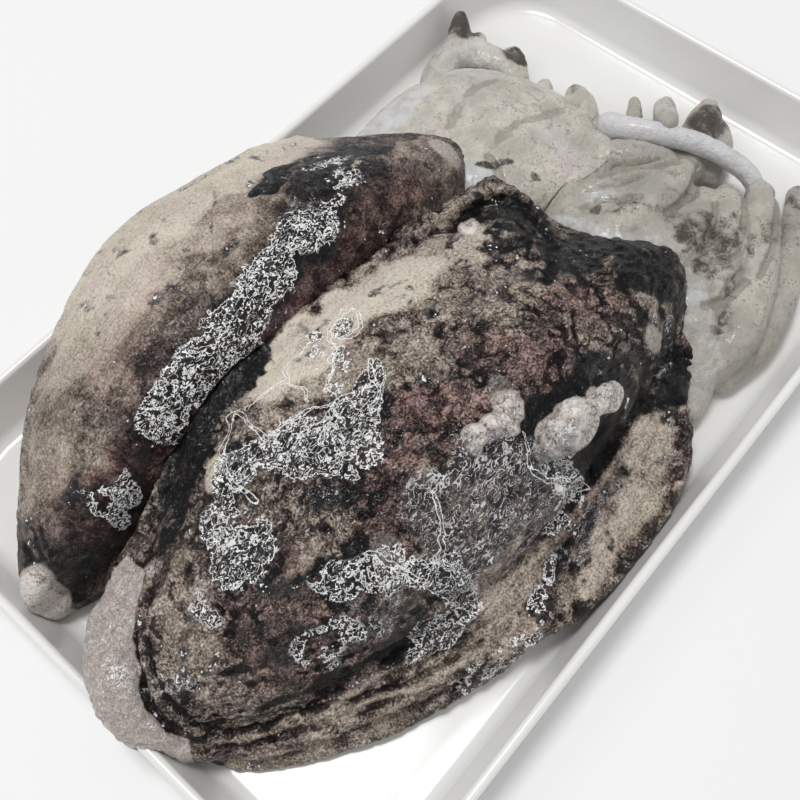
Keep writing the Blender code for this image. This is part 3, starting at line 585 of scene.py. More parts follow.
def add_limb(mesh, rows):
    """A tapering round limb with round ends along x, y, z and radius."""
    at = [curve_through([row[k] for row in rows]) for k in range(4)]
    steps = LIMB_STEPS * (len(rows) - 1)
    stops = [i / LIMB_STEPS for i in range(steps + 1)]
    line = [Vector([at[k](t) for k in range(3)]) for t in stops]
    rings = []
    for i, t in enumerate(stops):
        ahead = (line[min(i + 1, steps)] - line[max(i - 1, 0)]).normalized()
        side = ahead.cross(Vector((0, 0, 1))).normalized()
        up = side.cross(ahead)
        radius = at[3](t)
        around = [side * math.cos(a) + up * math.sin(a)
                  for a in (2 * math.pi * k / LIMB_SIDES for k in range(LIMB_SIDES))]
        outward = {0: -1, steps: 1}.get(i)
        caps = ROUND_END if outward else ()
        round_end = [[line[i] + ahead * (radius * push * outward) + d * radius * shrink
                      for d in around] for push, shrink in caps]
        full = [[line[i] + d * radius for d in around]]
        rings += round_end[::-1] + full if i == 0 else full + round_end
    close_rings(mesh, rings)


def add_head_body(mesh, sections):
    """A low rounded body that lies on the tray's floor, from sections across X."""
    at = [curve_through([row[k] for row in sections]) for k in range(4)]
    steps = LIMB_STEPS * (len(sections) - 1)
    low = TRAY_FLOOR + GAP
    rings = []
    for i in range(steps + 1):
        x, middle, half, top = (curve(i / LIMB_STEPS) for curve in at)
        width = HEAD_END + (1 - HEAD_END) * min(i / NECK_RINGS, (steps - i) / ARM_RINGS)
        shrink = math.sin(math.pi / 2 * min(1.0, width))
        centre = (top + low) / 2
        ring = []
        for k in range(HEAD_SIDES):
            angle = 2 * math.pi * k / HEAD_SIDES
            lift = math.copysign(abs(math.sin(angle)) ** HEAD_BLUNTNESS, math.sin(angle))
            ring.append((x, middle + half * shrink * math.cos(angle),
                         centre + (top - centre) * shrink * lift))
        rings.append(ring)
    close_rings(mesh, rings)


def solid_copy(node):
    """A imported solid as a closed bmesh, with the corners that its faces share joined."""
    mesh = bmesh.new()
    mesh.from_mesh(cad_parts[node].data)
    bmesh.ops.remove_doubles(mesh, verts=mesh.verts, dist=1e-6)
    return mesh


def bake(item):
    """Applies an object's modifiers to its mesh."""
    bpy.context.view_layer.update()
    graph = bpy.context.evaluated_depsgraph_get()
    data = bpy.data.meshes.new_from_object(item.evaluated_get(graph))
    item.modifiers.clear()
    item.data = data


def refine(item, voxel, softening):
    """Remeshes an object on an even fine grid and softens the facets it had."""
    grid = item.modifiers.new("Grid", "REMESH")
    grid.mode = "VOXEL"
    grid.voxel_size = voxel * MM
    soften = item.modifiers.new("Soften", "SMOOTH")
    soften.factor = 0.5
    soften.iterations = softening
    bake(item)


def join_limbs(item, limbs):
    """Adds limbs to an object's mesh, for the grid to fuse."""
    mesh = bmesh.new()
    mesh.from_mesh(item.data)
    for rows in limbs:
        add_limb(mesh, rows)
    mesh.to_mesh(item.data)
    mesh.free()


def cut_at_collar(item, collar):
    """Keeps the part of an animal behind the front edge of its mantle."""
    outline = [(BEHIND_TAIL, -BESIDE_FIN), (collar[0][0], -BESIDE_FIN), *collar,
               (collar[-1][0], BESIDE_FIN), (BEHIND_TAIL, BESIDE_FIN)]
    mesh = bmesh.new()
    close_rings(mesh, [[(x, y, z) for x, y in outline] for z in CUT_HEIGHTS])
    cutter = add_object("cutter", mesh)
    cut = item.modifiers.new("Cut", "BOOLEAN")
    cut.operation = "INTERSECT"
    cut.solver = "MANIFOLD"
    cut.object = cutter
    bake(item)
    bpy.data.objects.remove(cutter, do_unlink=True)


def keep_clear(item, other):
    """Moves the vertices that lie inside another piece out to just off its surface."""
    tree = BVHTree.FromObject(other, bpy.context.evaluated_depsgraph_get())
    for vertex in item.data.vertices:
        spot, normal, _, _ = tree.find_nearest(vertex.co, REACH * MM)
        if spot is not None and (vertex.co - spot).dot(normal) < GAP * MM:
            vertex.co = spot + normal * GAP * MM
    item.data.update()


def thin_underside(item, keep):
    """Thins out the faces that point down, which the tray hides."""
    normals = vertex_normals(item)
    points = vertex_points(item)
    group = item.vertex_groups.new(name="under")
    hidden = np.nonzero((normals[:, 2] < UNDERSIDE_TILT) & (points[:, 2] < UNDERSIDE_TOP))[0]
    group.add(hidden.tolist(), 1.0, "REPLACE")
    share = len(hidden) / len(points)
    thin = item.modifiers.new("Thin", "DECIMATE")
    thin.vertex_group = "under"
    thin.ratio = 1 - share * (1 - keep)
    bake(item)
    item.vertex_groups.clear()


def vertex_points(item):
    """The vertices as an array in millimetres."""
    flat = np.zeros(len(item.data.vertices) * 3)
    item.data.vertices.foreach_get("co", flat)
    return flat.reshape(-1, 3) / MM


def vertex_normals(item):
    """The vertices' normals as an array."""
    flat = np.zeros(len(item.data.vertices) * 3)
    item.data.vertex_normals.foreach_get("vector", flat)
    return flat.reshape(-1, 3)


def move_to(item, points):
    """Puts the vertices at points, in millimetres."""
    item.data.vertices.foreach_set("co", (points * MM).ravel())
    item.data.update()


def raise_skin(item, heights):
    """Moves each vertex out along its normal by its height in millimetres."""
    move_to(item, vertex_points(item) + vertex_normals(item) * heights[:, None])


def mark(item, name, values):
    """Stores a number for each vertex, for the material to read."""
    layer = item.data.attributes.new(name, "FLOAT", "POINT")
    layer.data.foreach_set("value", np.clip(values, 0, 1).astype(np.float32))


def settle(item, node, material):
    """Shades a piece smooth, dresses it and puts it in its node's place."""
    item.data.materials.clear()
    item.data.materials.append(material)
    item.data.shade_smooth()
    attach(item, "root")
    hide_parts(node)


# ---- materials -------------------------------------------------------------------------
def new_material(name):
    """A new material, its node tree and its shader."""
    material = bpy.data.materials.new(name)
    material.use_nodes = True
    return material, material.node_tree, material.node_tree.nodes["Principled BSDF"]


def node(tree, kind, inputs=None, **settings):
    """Adds a shader node.  Each input is a value or the output of another."""
    made = tree.nodes.new("ShaderNode" + kind)
    for key, value in settings.items():
        setattr(made, key, value)
    for key, value in (inputs or {}).items():
        if isinstance(value, bpy.types.NodeSocket):
            tree.links.new(value, made.inputs[key])
        else:
            made.inputs[key].default_value = value
    return made


def calc(tree, operation, a, b=0.0, clamp=False):
    """One step of arithmetic on values or outputs."""
    return node(tree, "Math", {0: a, 1: b}, operation=operation, use_clamp=clamp).outputs[0]


def times(tree, a, b):
    """The product of two values."""
    return calc(tree, "MULTIPLY", a, b)


def flip(tree, value):
    """1 minus a value."""
    return calc(tree, "SUBTRACT", 1.0, value)


def add_bump(tree, height, strength, socket):
    """Feeds a height in millimetres into a normal socket."""
    made = node(tree, "Bump", {"Height": height, "Strength": strength, "Distance": MM})
    tree.links.new(made.outputs["Normal"], socket)


def place(tree):
    """Object coordinates in millimetres."""
    coords = node(tree, "TexCoord").outputs["Object"]
    scaled = node(tree, "VectorMath", {0: coords}, operation="SCALE")
    scaled.inputs["Scale"].default_value = 1 / MM
    return scaled.outputs["Vector"]


def grain(tree, where, size, detail=3.0, rough=0.55, warp=0.0):
    """Noise about zero with lumps of a size in millimetres."""
    made = node(tree, "TexNoise", {"Vector": where, "Scale": 1 / size, "Detail": detail,
                                   "Roughness": rough, "Distortion": warp})
    return calc(tree, "SUBTRACT", made.outputs["Fac"], 0.5)


def ramp(tree, value, stops):
    """A colour for a value, from (position, colour) stops."""
    made = node(tree, "ValToRGB", {"Fac": value})
    elements = made.color_ramp.elements
    while len(elements) < len(stops):
        elements.new(0.5)
    for element, (position, colour) in zip(elements, stops):
        element.position = position
        element.color = (*colour, 1.0)
    return made.outputs["Color"]


def step(tree, value, low, high):
    """0 below low, 1 above high and a smooth rise between."""
    made = node(tree, "MapRange", {"Value": value, "From Min": low, "From Max": high},
                interpolation_type="SMOOTHSTEP")
    return made.outputs["Result"]


def mix(tree, share, a, b, how="MIX"):
    """Colour a with a share of colour b laid over it."""
    made = node(tree, "Mix", data_type="RGBA", blend_type=how)
    for socket, value in ((made.inputs[0], share), (made.inputs[6], a), (made.inputs[7], b)):
        if isinstance(value, bpy.types.NodeSocket):
            tree.links.new(value, socket)
        elif socket.type == "RGBA":
            socket.default_value = (*value, 1.0)
        else:
            socket.default_value = value
    return made.outputs[2]


def total(tree, *terms):
    """The sum of values, each given as (value, weight)."""
    result = None
    for value, weight in terms:
        part = times(tree, value, weight)
        result = part if result is None else calc(tree, "ADD", result, part)
    return result


def attribute(tree, name):
    """What mark() stored on the mesh under a name."""
    return node(tree, "Attribute", attribute_name=name).outputs["Fac"]


MANTLE_TONES = (
    (0.00, (0.006, 0.004, 0.004)), (0.22, (0.028, 0.018, 0.017)), (0.40, (0.090, 0.066, 0.058)),
    (0.58, (0.240, 0.198, 0.168)), (0.78, (0.470, 0.415, 0.355)), (1.00, (0.680, 0.630, 0.560)),
)
WARM_TINT = (1.0, 0.99, 0.93)
COOL_TINT = (0.98, 0.93, 0.93)
INK_LUMPS = (0.070, 0.062, 0.058)
FLESH_CREASES = (0.80, 0.76, 0.73)
FLESH_DOTS = (0.17, 0.13, 0.12)
WHITE_FLESH = (0.80, 0.74, 0.69)
NET_GROUND = (0.045, 0.036, 0.040)
# Painted highlights: the pale lines of the net.
NET_GLINTS = (0.74, 0.73, 0.74)
FILM_GROUND = (0.014, 0.008, 0.008)
HEAD_DARK = (0.42, 0.40, 0.35)
HEAD_LIGHT = (0.60, 0.57, 0.50)
HEAD_LILAC = (0.54, 0.49, 0.48)
# Painted shade, laid in the heads' folds:
HEAD_FOLD_SHADE = (0.20, 0.17, 0.14)
HEAD_FRECKLES = (0.20, 0.165, 0.135)
HEAD_WHITE = (0.64, 0.65, 0.68)


def creases(tree, where, size, width):
    """Thin lines that wander and break off: 1 on a line, 0 off it."""
    level = calc(tree, "ABSOLUTE", grain(tree, where, size, 3.0, 0.6, 0.9))
    return flip(tree, step(tree, level, 0.0, width))


def glint_lines(tree, where, size, thin, uneven):
    """Wandering lines that swell into blobs in places: 1 on a line, 0 off it."""
    level = calc(tree, "ABSOLUTE", grain(tree, where, size, 1.5, 0.5, 1.1))
    swelling = calc(tree, "MAXIMUM", grain(tree, where, size * 2.2, 2.0), 0.0)
    width = total(tree, (swelling, uneven), (1.0, thin))
    return step(tree, flip(tree, calc(tree, "DIVIDE", level, width)), 0.0, 0.2)


def rim(tree, value, level, width):
    """The contour where a value passes a level: 1 on it, 0 off it."""
    away = calc(tree, "ABSOLUTE", calc(tree, "SUBTRACT", value, level))
    return flip(tree, step(tree, away, width * 0.4, width))


def mantle_material(name, skin, contrast):
    """Wet mottled skin: speckled from dark brown to beige, stained with ink and filmed, with
    painted highlights on the film and painted shade in its folds and cracks.
    """
    material, tree, shader = new_material(name)
    where = place(tree)
    speckle = grain(tree, where, 0.75, 3.0, 0.75)
    mottle = grain(tree, where, 4.6, 4.0, 0.62)
    cloud = grain(tree, where, 18.0, 2.0)
    drift = grain(tree, where, 8.0, 3.0, 0.6, 0.5)
    pale = attribute(tree, "pale")
    # Painted shade: how deep each point lies in a fold, which darkens the tone there.
    fold_shade = attribute(tree, "fold_shade")
    # Paler skin is the more even one.
    busy = times(tree, step(tree, flip(tree, pale), 0.15, 0.62), contrast)
    uneven_mottle = times(tree, mottle, calc(tree, "ADD", busy, 0.22))
    # The cracks are grooves in the bump below, and darkening the tone along them is painted shade.
    crack_with_shade = times(tree, creases(tree, where, 5.5, 0.03), busy)
    fine_crack_with_shade = times(tree, creases(tree, where, 2.3, 0.055), busy)
    tone = total(tree, (pale, 1.0), (speckle, skin.speckle * contrast),
                 (uneven_mottle, skin.mottle), (cloud, 0.45), (crack_with_shade, -0.18),
                 (fine_crack_with_shade, -0.32), (times(tree, fold_shade, busy), -0.50), (busy, 0.12))
    colour = ramp(tree, tone, MANTLE_TONES)
    hue = step(tree, grain(tree, where, 14.0, 3.0, 0.6), -0.12, 0.12)
    hue = mix(tree, hue, WARM_TINT, COOL_TINT)
    colour = mix(tree, 1.0, colour, hue, "MULTIPLY")
    plum = total(tree, (attribute(tree, "plum"), 1.0), (mottle, 1.2))
    colour = mix(tree, step(tree, plum, 0.1, 0.9), colour, tuple(skin.plum_tint), "MULTIPLY")
    # Ink stains, with small paler lumps in them.  The folds' painted shade deepens the ink and
    # fades the lumps.
    ink_depth = total(tree, (attribute(tree, "ink"), 1.0), (mottle, 1.7), (drift, 1.1),
                      (speckle, 1.1), (crack_with_shade, 0.2), (fold_shade, 0.2))
    ink_lumps = total(tree, (mottle, 1.0), (fold_shade, -0.35), (speckle, 0.9), (1.0, 0.05))
    ink_tone = mix(tree, step(tree, ink_lumps, 0.02, 0.40), tuple(skin.ink), INK_LUMPS)
    colour = mix(tree, step(tree, ink_depth, 0.34, 0.72), colour, ink_tone)
    # Bare flesh, whitest where its attribute is highest.
    flesh = step(tree, total(tree, (attribute(tree, "flesh"), 1.0), (speckle, 0.5), (mottle, 0.2)),
                 0.20, 0.55)
    whitest = step(tree, attribute(tree, "flesh"), 0.74, 0.92)
    # Painted shade: darker dots gather in the folds of the whitest flesh.
    seam_shade = times(tree, fold_shade, whitest)
    flesh_spots = total(tree, (speckle, 1.3), (seam_shade, 0.15), (mottle, 0.15))
    flesh_tone = mix(tree, times(tree, creases(tree, where, 2.6, 0.04), 0.6),
                     tuple(skin.flesh), FLESH_CREASES)
    flesh_tone = mix(tree, whitest, flesh_tone, WHITE_FLESH)
    flesh_tone = mix(tree, step(tree, flesh_spots, 0.0, 0.36), flesh_tone, FLESH_DOTS)
    colour = mix(tree, flesh, colour, flesh_tone)
    # A net of painted highlights, fine pale lines, on darkened skin.
    drawn_out = node(tree, "VectorMath", {0: where, 1: (0.6, 1.0, 1.0)}, operation="MULTIPLY")
    drawn_out = drawn_out.outputs["Vector"]
    net_share = total(tree, (attribute(tree, "net"), 0.9), (mottle, 1.8), (drift, 1.4))
    net_share = step(tree, net_share, 0.30, 0.80)
    colour = mix(tree, times(tree, net_share, 0.55), colour, NET_GROUND)
    net_glints = times(tree, glint_lines(tree, drawn_out, 1.7, 0.018, 0.30), net_share)
    colour = mix(tree, times(tree, net_glints, 0.9), colour, NET_GLINTS)
    # Wet film: soaked dark skin, with painted highlights on it as white lines, beads and a line
    # along the film's edge.
    wetness = total(tree, (attribute(tree, "film_and_glints"), 0.68), (mottle, 1.7), (drift, 2.0))
    glint_level = total(tree, (wetness, 1.0), (grain(tree, where, 1.5, 2.0), 1.3))
    soaked = times(tree, step(tree, wetness, 0.12, 0.55), 0.88)
    soaked = times(tree, soaked, flip(tree, flesh))
    colour = mix(tree, soaked, colour, FILM_GROUND)
    line = calc(tree, "MAXIMUM", glint_lines(tree, drawn_out, 1.6, 0.022, 0.34),
                step(tree, grain(tree, where, 1.5, 1.0), 0.15, 0.19))
    line = times(tree, line, step(tree, glint_level, 0.52, 0.60))
    in_film = step(tree, attribute(tree, "film_and_glints"), 0.12, 0.40)
    film_edge_glint = times(tree, rim(tree, glint_level, 0.37, 0.10), in_film)
    line = calc(tree, "MAXIMUM", line, film_edge_glint)
    # The listed lines of the wet film, drawn as painted highlights.
    glint_paths = total(tree, (attribute(tree, "glint_path"), 1.0), (speckle, 0.45), (mottle, 1.3))
    line = calc(tree, "MAXIMUM", line, rim(tree, glint_paths, 0.58, 0.15))
    line = times(tree, line, flip(tree, whitest))
    colour = mix(tree, line, colour, tuple(skin.film_and_glints))
    tree.links.new(colour, shader.inputs["Base Color"])
    shader.inputs["Roughness"].default_value = skin.dull
    shader.inputs["Specular IOR Level"].default_value = 0.25
    moist = calc(tree, "ADD", step(tree, wetness, 0.05, 0.45), times(tree, busy, 0.5), clamp=True)
    tree.links.new(moist, shader.inputs["Coat Weight"])
    shader.inputs["Coat Roughness"].default_value = skin.wet
    shader.inputs["Coat IOR"].default_value = 1.5
    height = total(tree, (uneven_mottle, 1.8), (speckle, 0.6), (crack_with_shade, -0.25), (fine_crack_with_shade, -0.3))
    add_bump(tree, height, skin.bump, shader.inputs["Normal"])
    water = grain(tree, drawn_out, 1.5, 2.0, 0.55, 1.0)
    add_bump(tree, water, skin.water, shader.inputs["Coat Normal"])
    return material


def flesh_material(name, skin, shade):
    """Pale wet skin of heads and arms: greenish beige, lilac and cream, with brown stains and
    painted shade in the folds.
    """
    material, tree, shader = new_material(name)
    where = place(tree)
    fine = grain(tree, where, 0.9, 3.0, 0.7)
    mottle = grain(tree, where, 5.0, 4.0, 0.62)
    cloud = grain(tree, where, 14.0, 2.0)
    drift = grain(tree, where, 22.0, 2.0, warp=0.6)
    colour = mix(tree, step(tree, total(tree, (cloud, 1.0), (mottle, 0.5)), -0.15, 0.2),
                 HEAD_DARK, HEAD_LIGHT)
    colour = mix(tree, step(tree, drift, 0.0, 0.25), colour, HEAD_LILAC)
    # Painted shade: the colour darkens in the relief's folds.
    fold_shade = total(tree, (attribute(tree, "fold_shade"), 1.0), (mottle, 0.8), (fine, 0.5))
    colour = mix(tree, times(tree, step(tree, fold_shade, 0.1, 0.8), 0.42), colour, HEAD_FOLD_SHADE)
    # Shade scales the colour: for the heads it sets their brightness, and for the tentacles it
    # lightens them as painted light against the shade they lie in.
    colour = mix(tree, 1.0, colour, (shade, shade, shade), "MULTIPLY")
    white = attribute(tree, "white")
    freckles = total(tree, (fine, 1.0), (mottle, 0.6), (cloud, 0.3), (white, -0.3))
    colour = mix(tree, step(tree, freckles, 0.04, 0.30), colour, HEAD_FRECKLES)
    whiteness = total(tree, (white, 1.0), (mottle, 1.8), (fine, 1.2))
    colour = mix(tree, step(tree, whiteness, 0.25, 1.30), colour, HEAD_WHITE)
    stain = total(tree, (attribute(tree, "stain"), 1.0), (mottle, 2.0), (fine, 0.8))
    colour = mix(tree, step(tree, stain, 0.22, 0.95), colour, tuple(skin.stain))
    tree.links.new(colour, shader.inputs["Base Color"])
    roughness = node(tree, "MapRange", {"Value": mottle, "From Min": -0.25, "From Max": 0.25,
                                        "To Min": 0.34, "To Max": 0.52})
    tree.links.new(roughness.outputs["Result"], shader.inputs["Roughness"])
    wrinkle = total(tree, (grain(tree, where, 2.2, 4.0, 0.65, 0.6), 1.0), (fine, 0.35))
    add_bump(tree, wrinkle, skin.bump, shader.inputs["Normal"])
    shader.inputs["Subsurface Weight"].default_value = 0.2
    shader.inputs["Subsurface Scale"].default_value = 0.003
    shader.inputs["Coat Weight"].default_value = 0.25
    shader.inputs["Coat Roughness"].default_value = 0.10
    return material


def tray_material(tray):
    """Smooth white melamine with faint unevenness in its gloss."""
    material, tree, shader = new_material("white_melamine")
    where = place(tree)
    cloud = grain(tree, where, 60.0, 2.0)
    colour = mix(tree, step(tree, cloud, -0.3, 0.3), tuple(tray.colour), tuple(tray.shade))
    tree.links.new(colour, shader.inputs["Base Color"])
    fine = grain(tree, where, 9.0, 3.0)
    gloss = total(tree, (fine, 0.12), (1.0, tray.roughness))
    tree.links.new(gloss, shader.inputs["Roughness"])
    add_bump(tree, cloud, 0.15, shader.inputs["Normal"])
    return material


# ---- settings that a user may change ---------------------------------------------------
class TraySettings(bpy.types.PropertyGroup):
    """The tray."""

    colour: FloatVectorProperty(name="Colour", description="Colour of the melamine",
                                subtype="COLOR", size=3, default=(0.83, 0.83, 0.82), min=0, max=1)
    shade: FloatVectorProperty(name="Shade", description="The melamine's slightly warmer parts",
                               subtype="COLOR", size=3, default=(0.80, 0.79, 0.77), min=0, max=1)
    roughness: FloatProperty(name="Roughness", description="Roughness of the glaze",
                             subtype="FACTOR", default=0.16, min=0, max=1)


class SkinSettings(bpy.types.PropertyGroup):
    """The skin of both animals."""

    voxel: FloatProperty(name="Mesh size", description="Grid of the mantles' mesh, in millimetres",
                         default=0.66, min=0.4, max=3.0)
    head_voxel: FloatProperty(name="Head mesh size", default=0.60, min=0.4, max=3.0,
                              description="Grid of the heads' mesh, in millimetres")
    wrinkle: FloatProperty(name="Wrinkle depth", default=0.45, min=0.0, max=2.0,
                           description="Depth of the wrinkles, in millimetres")
    head_wrinkle: FloatProperty(name="Head wrinkle depth", default=0.16, min=0.0, max=2.0,
                                description="Depth of the heads' wrinkles, in millimetres")
    speckle: FloatProperty(name="Speckle", description="Contrast of the finest speckles",
                           default=1.6, min=0, max=4)
    # The colour of the painted highlights on the wet film.
    film_and_glints: FloatVectorProperty(name="Film", description="Colour of the threads of slime",
                              subtype="COLOR", size=3, default=(0.95, 0.95, 0.94), min=0, max=1)
    water: FloatProperty(name="Water relief", description="Strength of the water film's relief",
                         default=1.1, min=0, max=3)
    mottle: FloatProperty(name="Mottle", description="Contrast of the mottling",
                          default=1.2, min=0, max=4)
    ink: FloatVectorProperty(name="Ink", description="Colour of the ink stains",
                             subtype="COLOR", size=3, default=(0.006, 0.006, 0.008), min=0, max=1)
    flesh: FloatVectorProperty(name="Flesh", description="Colour where flesh shows through",
                               subtype="COLOR", size=3, default=(0.48, 0.415, 0.375), min=0, max=1)
    stain: FloatVectorProperty(name="Stain", description="Colour of the stains on heads and arms",
                               subtype="COLOR", size=3, default=(0.075, 0.060, 0.048), min=0, max=1)
    plum_tint: FloatVectorProperty(name="Plum tint", description="Tint of the purple zones",
                                   subtype="COLOR", size=3, default=(0.80, 0.62, 0.66),
                                   min=0, max=1)
    wet: FloatProperty(name="Wet roughness", description="Roughness of the water film",
                       subtype="FACTOR", default=0.05, min=0, max=1)
    dull: FloatProperty(name="Dull roughness", description="Roughness of the skin under the film",
                        subtype="FACTOR", default=0.48, min=0, max=1)
    bump: FloatProperty(name="Bump", description="Strength of the finest relief",
                        default=0.8, min=0, max=3)


class StageSettings(bpy.types.PropertyGroup):
    """The floor, the lights and the camera."""

    floor: FloatVectorProperty(name="Floor", description="Colour of the floor",
                               subtype="COLOR", size=3, default=(0.85, 0.85, 0.85), min=0, max=1)
    lens: FloatProperty(name="Lens", description="Focal length of the camera, in millimetres",
                        default=44.018, min=10, max=200)
    key: FloatProperty(name="Key light", description="Power of the soft lamp overhead",
                       unit="POWER", default=29.0, min=0)
    window: FloatProperty(name="Window light", description="Power of the soft light from behind",
                          unit="POWER", default=6.0, min=0)
    fill: FloatProperty(name="Sky", description="Strength of the light from all round",
                        default=0.60, min=0)
    sheen: FloatProperty(name="Sky in gloss", default=0.12, min=0,
                         description="Strength of the same light in reflections")


# ---- operators --------------------------------------------------------------------------
def tray_loop(inset, height):
    """The tray's rounded rectangle, drawn in by inset, at a height."""
    low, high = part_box("tray")
    radius = max(TRAY_CORNER - inset * CORNER_SHRINK, FLAT_CORNER)
    across = high.x / MM - inset - radius
    deep = high.y / MM - inset - radius
    points = []
    for quarter in range(4):
        sign_x = 1 if quarter in (0, 3) else -1
        sign_y = 1 if quarter in (0, 1) else -1
        for i in range(TRAY_CORNER_STEPS + 1):
            angle = math.pi / 2 * (quarter + i / TRAY_CORNER_STEPS)
            points.append(Vector((sign_x * across + radius * math.cos(angle),
                                  sign_y * deep + radius * math.sin(angle), height)))
    return points


def round_turn(centre, radius, start, end, steps):
    """(inset, height) points on an arc, from a start to an end angle in degrees."""
    angles = [math.radians(start + (end - start) * i / steps) for i in range(steps + 1)]
    return [(centre[0] + radius * math.cos(a), centre[1] + radius * math.sin(a)) for a in angles]


class CUTTLEFISH_OT_tray(bpy.types.Operator):
    """Build the white tray"""

    bl_idname = "cuttlefish.tray"
    bl_label = "Tray"

    def execute(self, context):
        settings = context.scene.cuttlefish_tray
        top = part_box("tray")[1].z / MM
        half_rim = TRAY_WALL / 2
        profile = [(FLAT_INSET, 0), (FOOT_INSET + 1, 0)]
        profile += round_turn((FOOT_INSET, FOOT_ROUND), FOOT_ROUND, -90, -170, 4)
        profile += [(inset, top - drop) for inset, drop in (LIP_FOOT, LIP_EDGE)]
        profile += round_turn((half_rim, top - half_rim), half_rim, 180, 0, 10)
        wall_foot = TRAY_WALL + WALL_LEAN
        profile += round_turn((wall_foot + COVE - 1, TRAY_FLOOR + COVE), COVE, 195, 270, 8)
        profile += [(wall_foot + COVE + 4, TRAY_FLOOR), (FLAT_INSET, TRAY_FLOOR)]
        mesh = bmesh.new()
        close_rings(mesh, [tray_loop(*row) for row in profile])
        item = add_object("white_tray", mesh)
        settle(item, "tray", tray_material(settings))
        item.data.set_sharp_from_angle(angle=math.radians(SHARP_ANGLE))
        return {"FINISHED"}


def wrinkles(points, depth, seed):
    """Heights of the skin's wrinkles: soft lumps, finer ones on them, and creases between."""
    bent = warped(points, 9.0, 3.0, seed)
    folds = 2 * soft_step(np.abs(noise(bent, FOLD_SIZE, seed + 3)), 0, 0.5) - 1
    bent = warped(points, 3.0, 1.4, seed + 5)
    worms = 2 * soft_step(np.abs(noise(bent, WORM_SIZE, seed + 7)), 0, 0.5) - 1
    return depth * (FOLD_SHARE * folds + WORM_SHARE * worms)


def strands(points, rows, depth):
    """Heights of bundles of long fine folds that run along the ovals in rows."""
    height = np.zeros(len(points))
    bent = warped(points, 12.0, 1.2, 31)
    for x, y, along, across, turn, strength in rows:
        u, v = turned(bent, x, y, turn)
        inside = soft_step(PATCH_REACH - np.hypot(u / along, v / across), 0.0, STRAND_FADE)
        drawn_out = np.stack([u / STRAND_STRETCH, v, points[:, 2]], axis=1)
        height += depth * strength * inside * (1 - 2 * np.abs(noise(drawn_out, STRAND_SIZE, 33)))
    return height


def drawn_lines(points, rows):
    """Heights of single folds and grooves, from (height, half width, path) rows."""
    return sum((height * bump_line(points, path, width) for height, width, path in rows),
               np.zeros(len(points)))


def lumps(points, rows):
    """Heights of single round lumps, from (x, y, radius, height) rows."""
    return sum((height * np.exp(-((points[:, 0] - x) ** 2 + (points[:, 1] - y) ** 2) / radius ** 2)
                for x, y, radius, height in rows), np.zeros(len(points)))


def hold_in_box(item, node_name):
    """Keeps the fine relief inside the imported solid's box."""
    low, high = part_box(node_name)
    move_to(item, np.clip(vertex_points(item), np.array(low) / MM, np.array(high) / MM))


def facing_up(item):
    """1 for vertices that face up, fading to 0 for those that face down."""
    return soft_step(vertex_normals(item)[:, 2], -FACING, FACING)


def mantle(name, node_name, collar, limbs, look, skin):
    """One animal's mantle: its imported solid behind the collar, with folds and wrinkles."""
    item = add_object(name, solid_copy(node_name))
    cut_at_collar(item, collar)
    join_limbs(item, limbs)
    refine(item, skin.voxel, MANTLE_SMOOTHING)
    thin_underside(item, MANTLE_UNDERSIDE)
    points = vertex_points(item)
    film_and_glints = patches(points, look["film_and_glints"], 2.5)
    pale = patches(points, look["pale"], 4.0)
    loose = warped(warped(points, 9.0, 1.6, 81), 3.5, 0.8, 91)
    edges = drawn_lines(loose, look["pale_lines"]) * (0.75 + 0.5 * noise(points, 10.0, 85))
    relief = wrinkles(points, skin.wrinkle * look["relief"], 21) * (0.75 + 0.5 * film_and_glints - 0.6 * pale)
    relief += strands(points, look["strands"], skin.wrinkle)
    relief += drawn_lines(loose, look["lines"]) * (0.8 + 0.6 * noise(points, 11.0, 87))
    raise_skin(item, (relief + lumps(points, look["lumps"])) * facing_up(item))
    hold_in_box(item, node_name)
    # The wet zones, and the listed lines of painted highlights on them.
    mark(item, "film_and_glints", film_and_glints)
    mark(item, "glint_path", drawn_lines(warped(loose, 3.0, 0.9, 95), look["glint_lines"]))
    # Painted shade for the material: how deep each vertex lies in a fold.
    mark(item, "fold_shade", soft_step(-relief, 0.0, FOLD_SHADE_DEPTH))
    mark(item, "pale", look["tone"] + np.maximum(pale, edges))
    mark(item, "ink", patches(points, look["ink"], 3.5) * (1 - np.clip(2 * edges, 0, 1)))
    for kind, ragged in (("plum", 4.0), ("net", 3.5)):
        mark(item, kind, patches(points, look[kind], ragged))
    flesh = patches(points, look["flesh"], 0.8)
    for outline in look["flesh_areas"]:
        inside = within(warped(points, 5.0, 0.8, 71), outline, 0.8)
        flesh = np.maximum(flesh, LOBE_FLESH * inside)
    for rows in look["flesh_limbs"]:
        flesh = np.maximum(flesh, on_limb(points, rows, FLESH_EDGE))
    mark(item, "flesh", flesh)
    settle(item, node_name, mantle_material(name, skin, look["contrast"]))


def head(name, node_name, sections, limbs, look, skin):
    """One animal's head and arms, from sections and limbs."""
    mesh = bmesh.new()
    add_head_body(mesh, sections)
    for rows in limbs:
        add_limb(mesh, rows)
    item = add_object(name, mesh)
    refine(item, skin.head_voxel, HEAD_SMOOTHING)
    thin_underside(item, HEAD_UNDERSIDE)
    points = vertex_points(item)
    relief = wrinkles(points, skin.head_wrinkle, 51) + drawn_lines(points, look["lines"])
    raise_skin(item, (relief + lumps(points, look["lumps"])) * facing_up(item))
    # Painted shade for the material: how deep each vertex lies in a fold.
    mark(item, "fold_shade", soft_step(-relief, 0.0, FOLD_SHADE_DEPTH))
    for kind in ("stain", "white"):
        mark(item, kind, patches(points, look[kind], 2.0))
    settle(item, node_name, flesh_material(name, skin, look["shade"]))
    return item


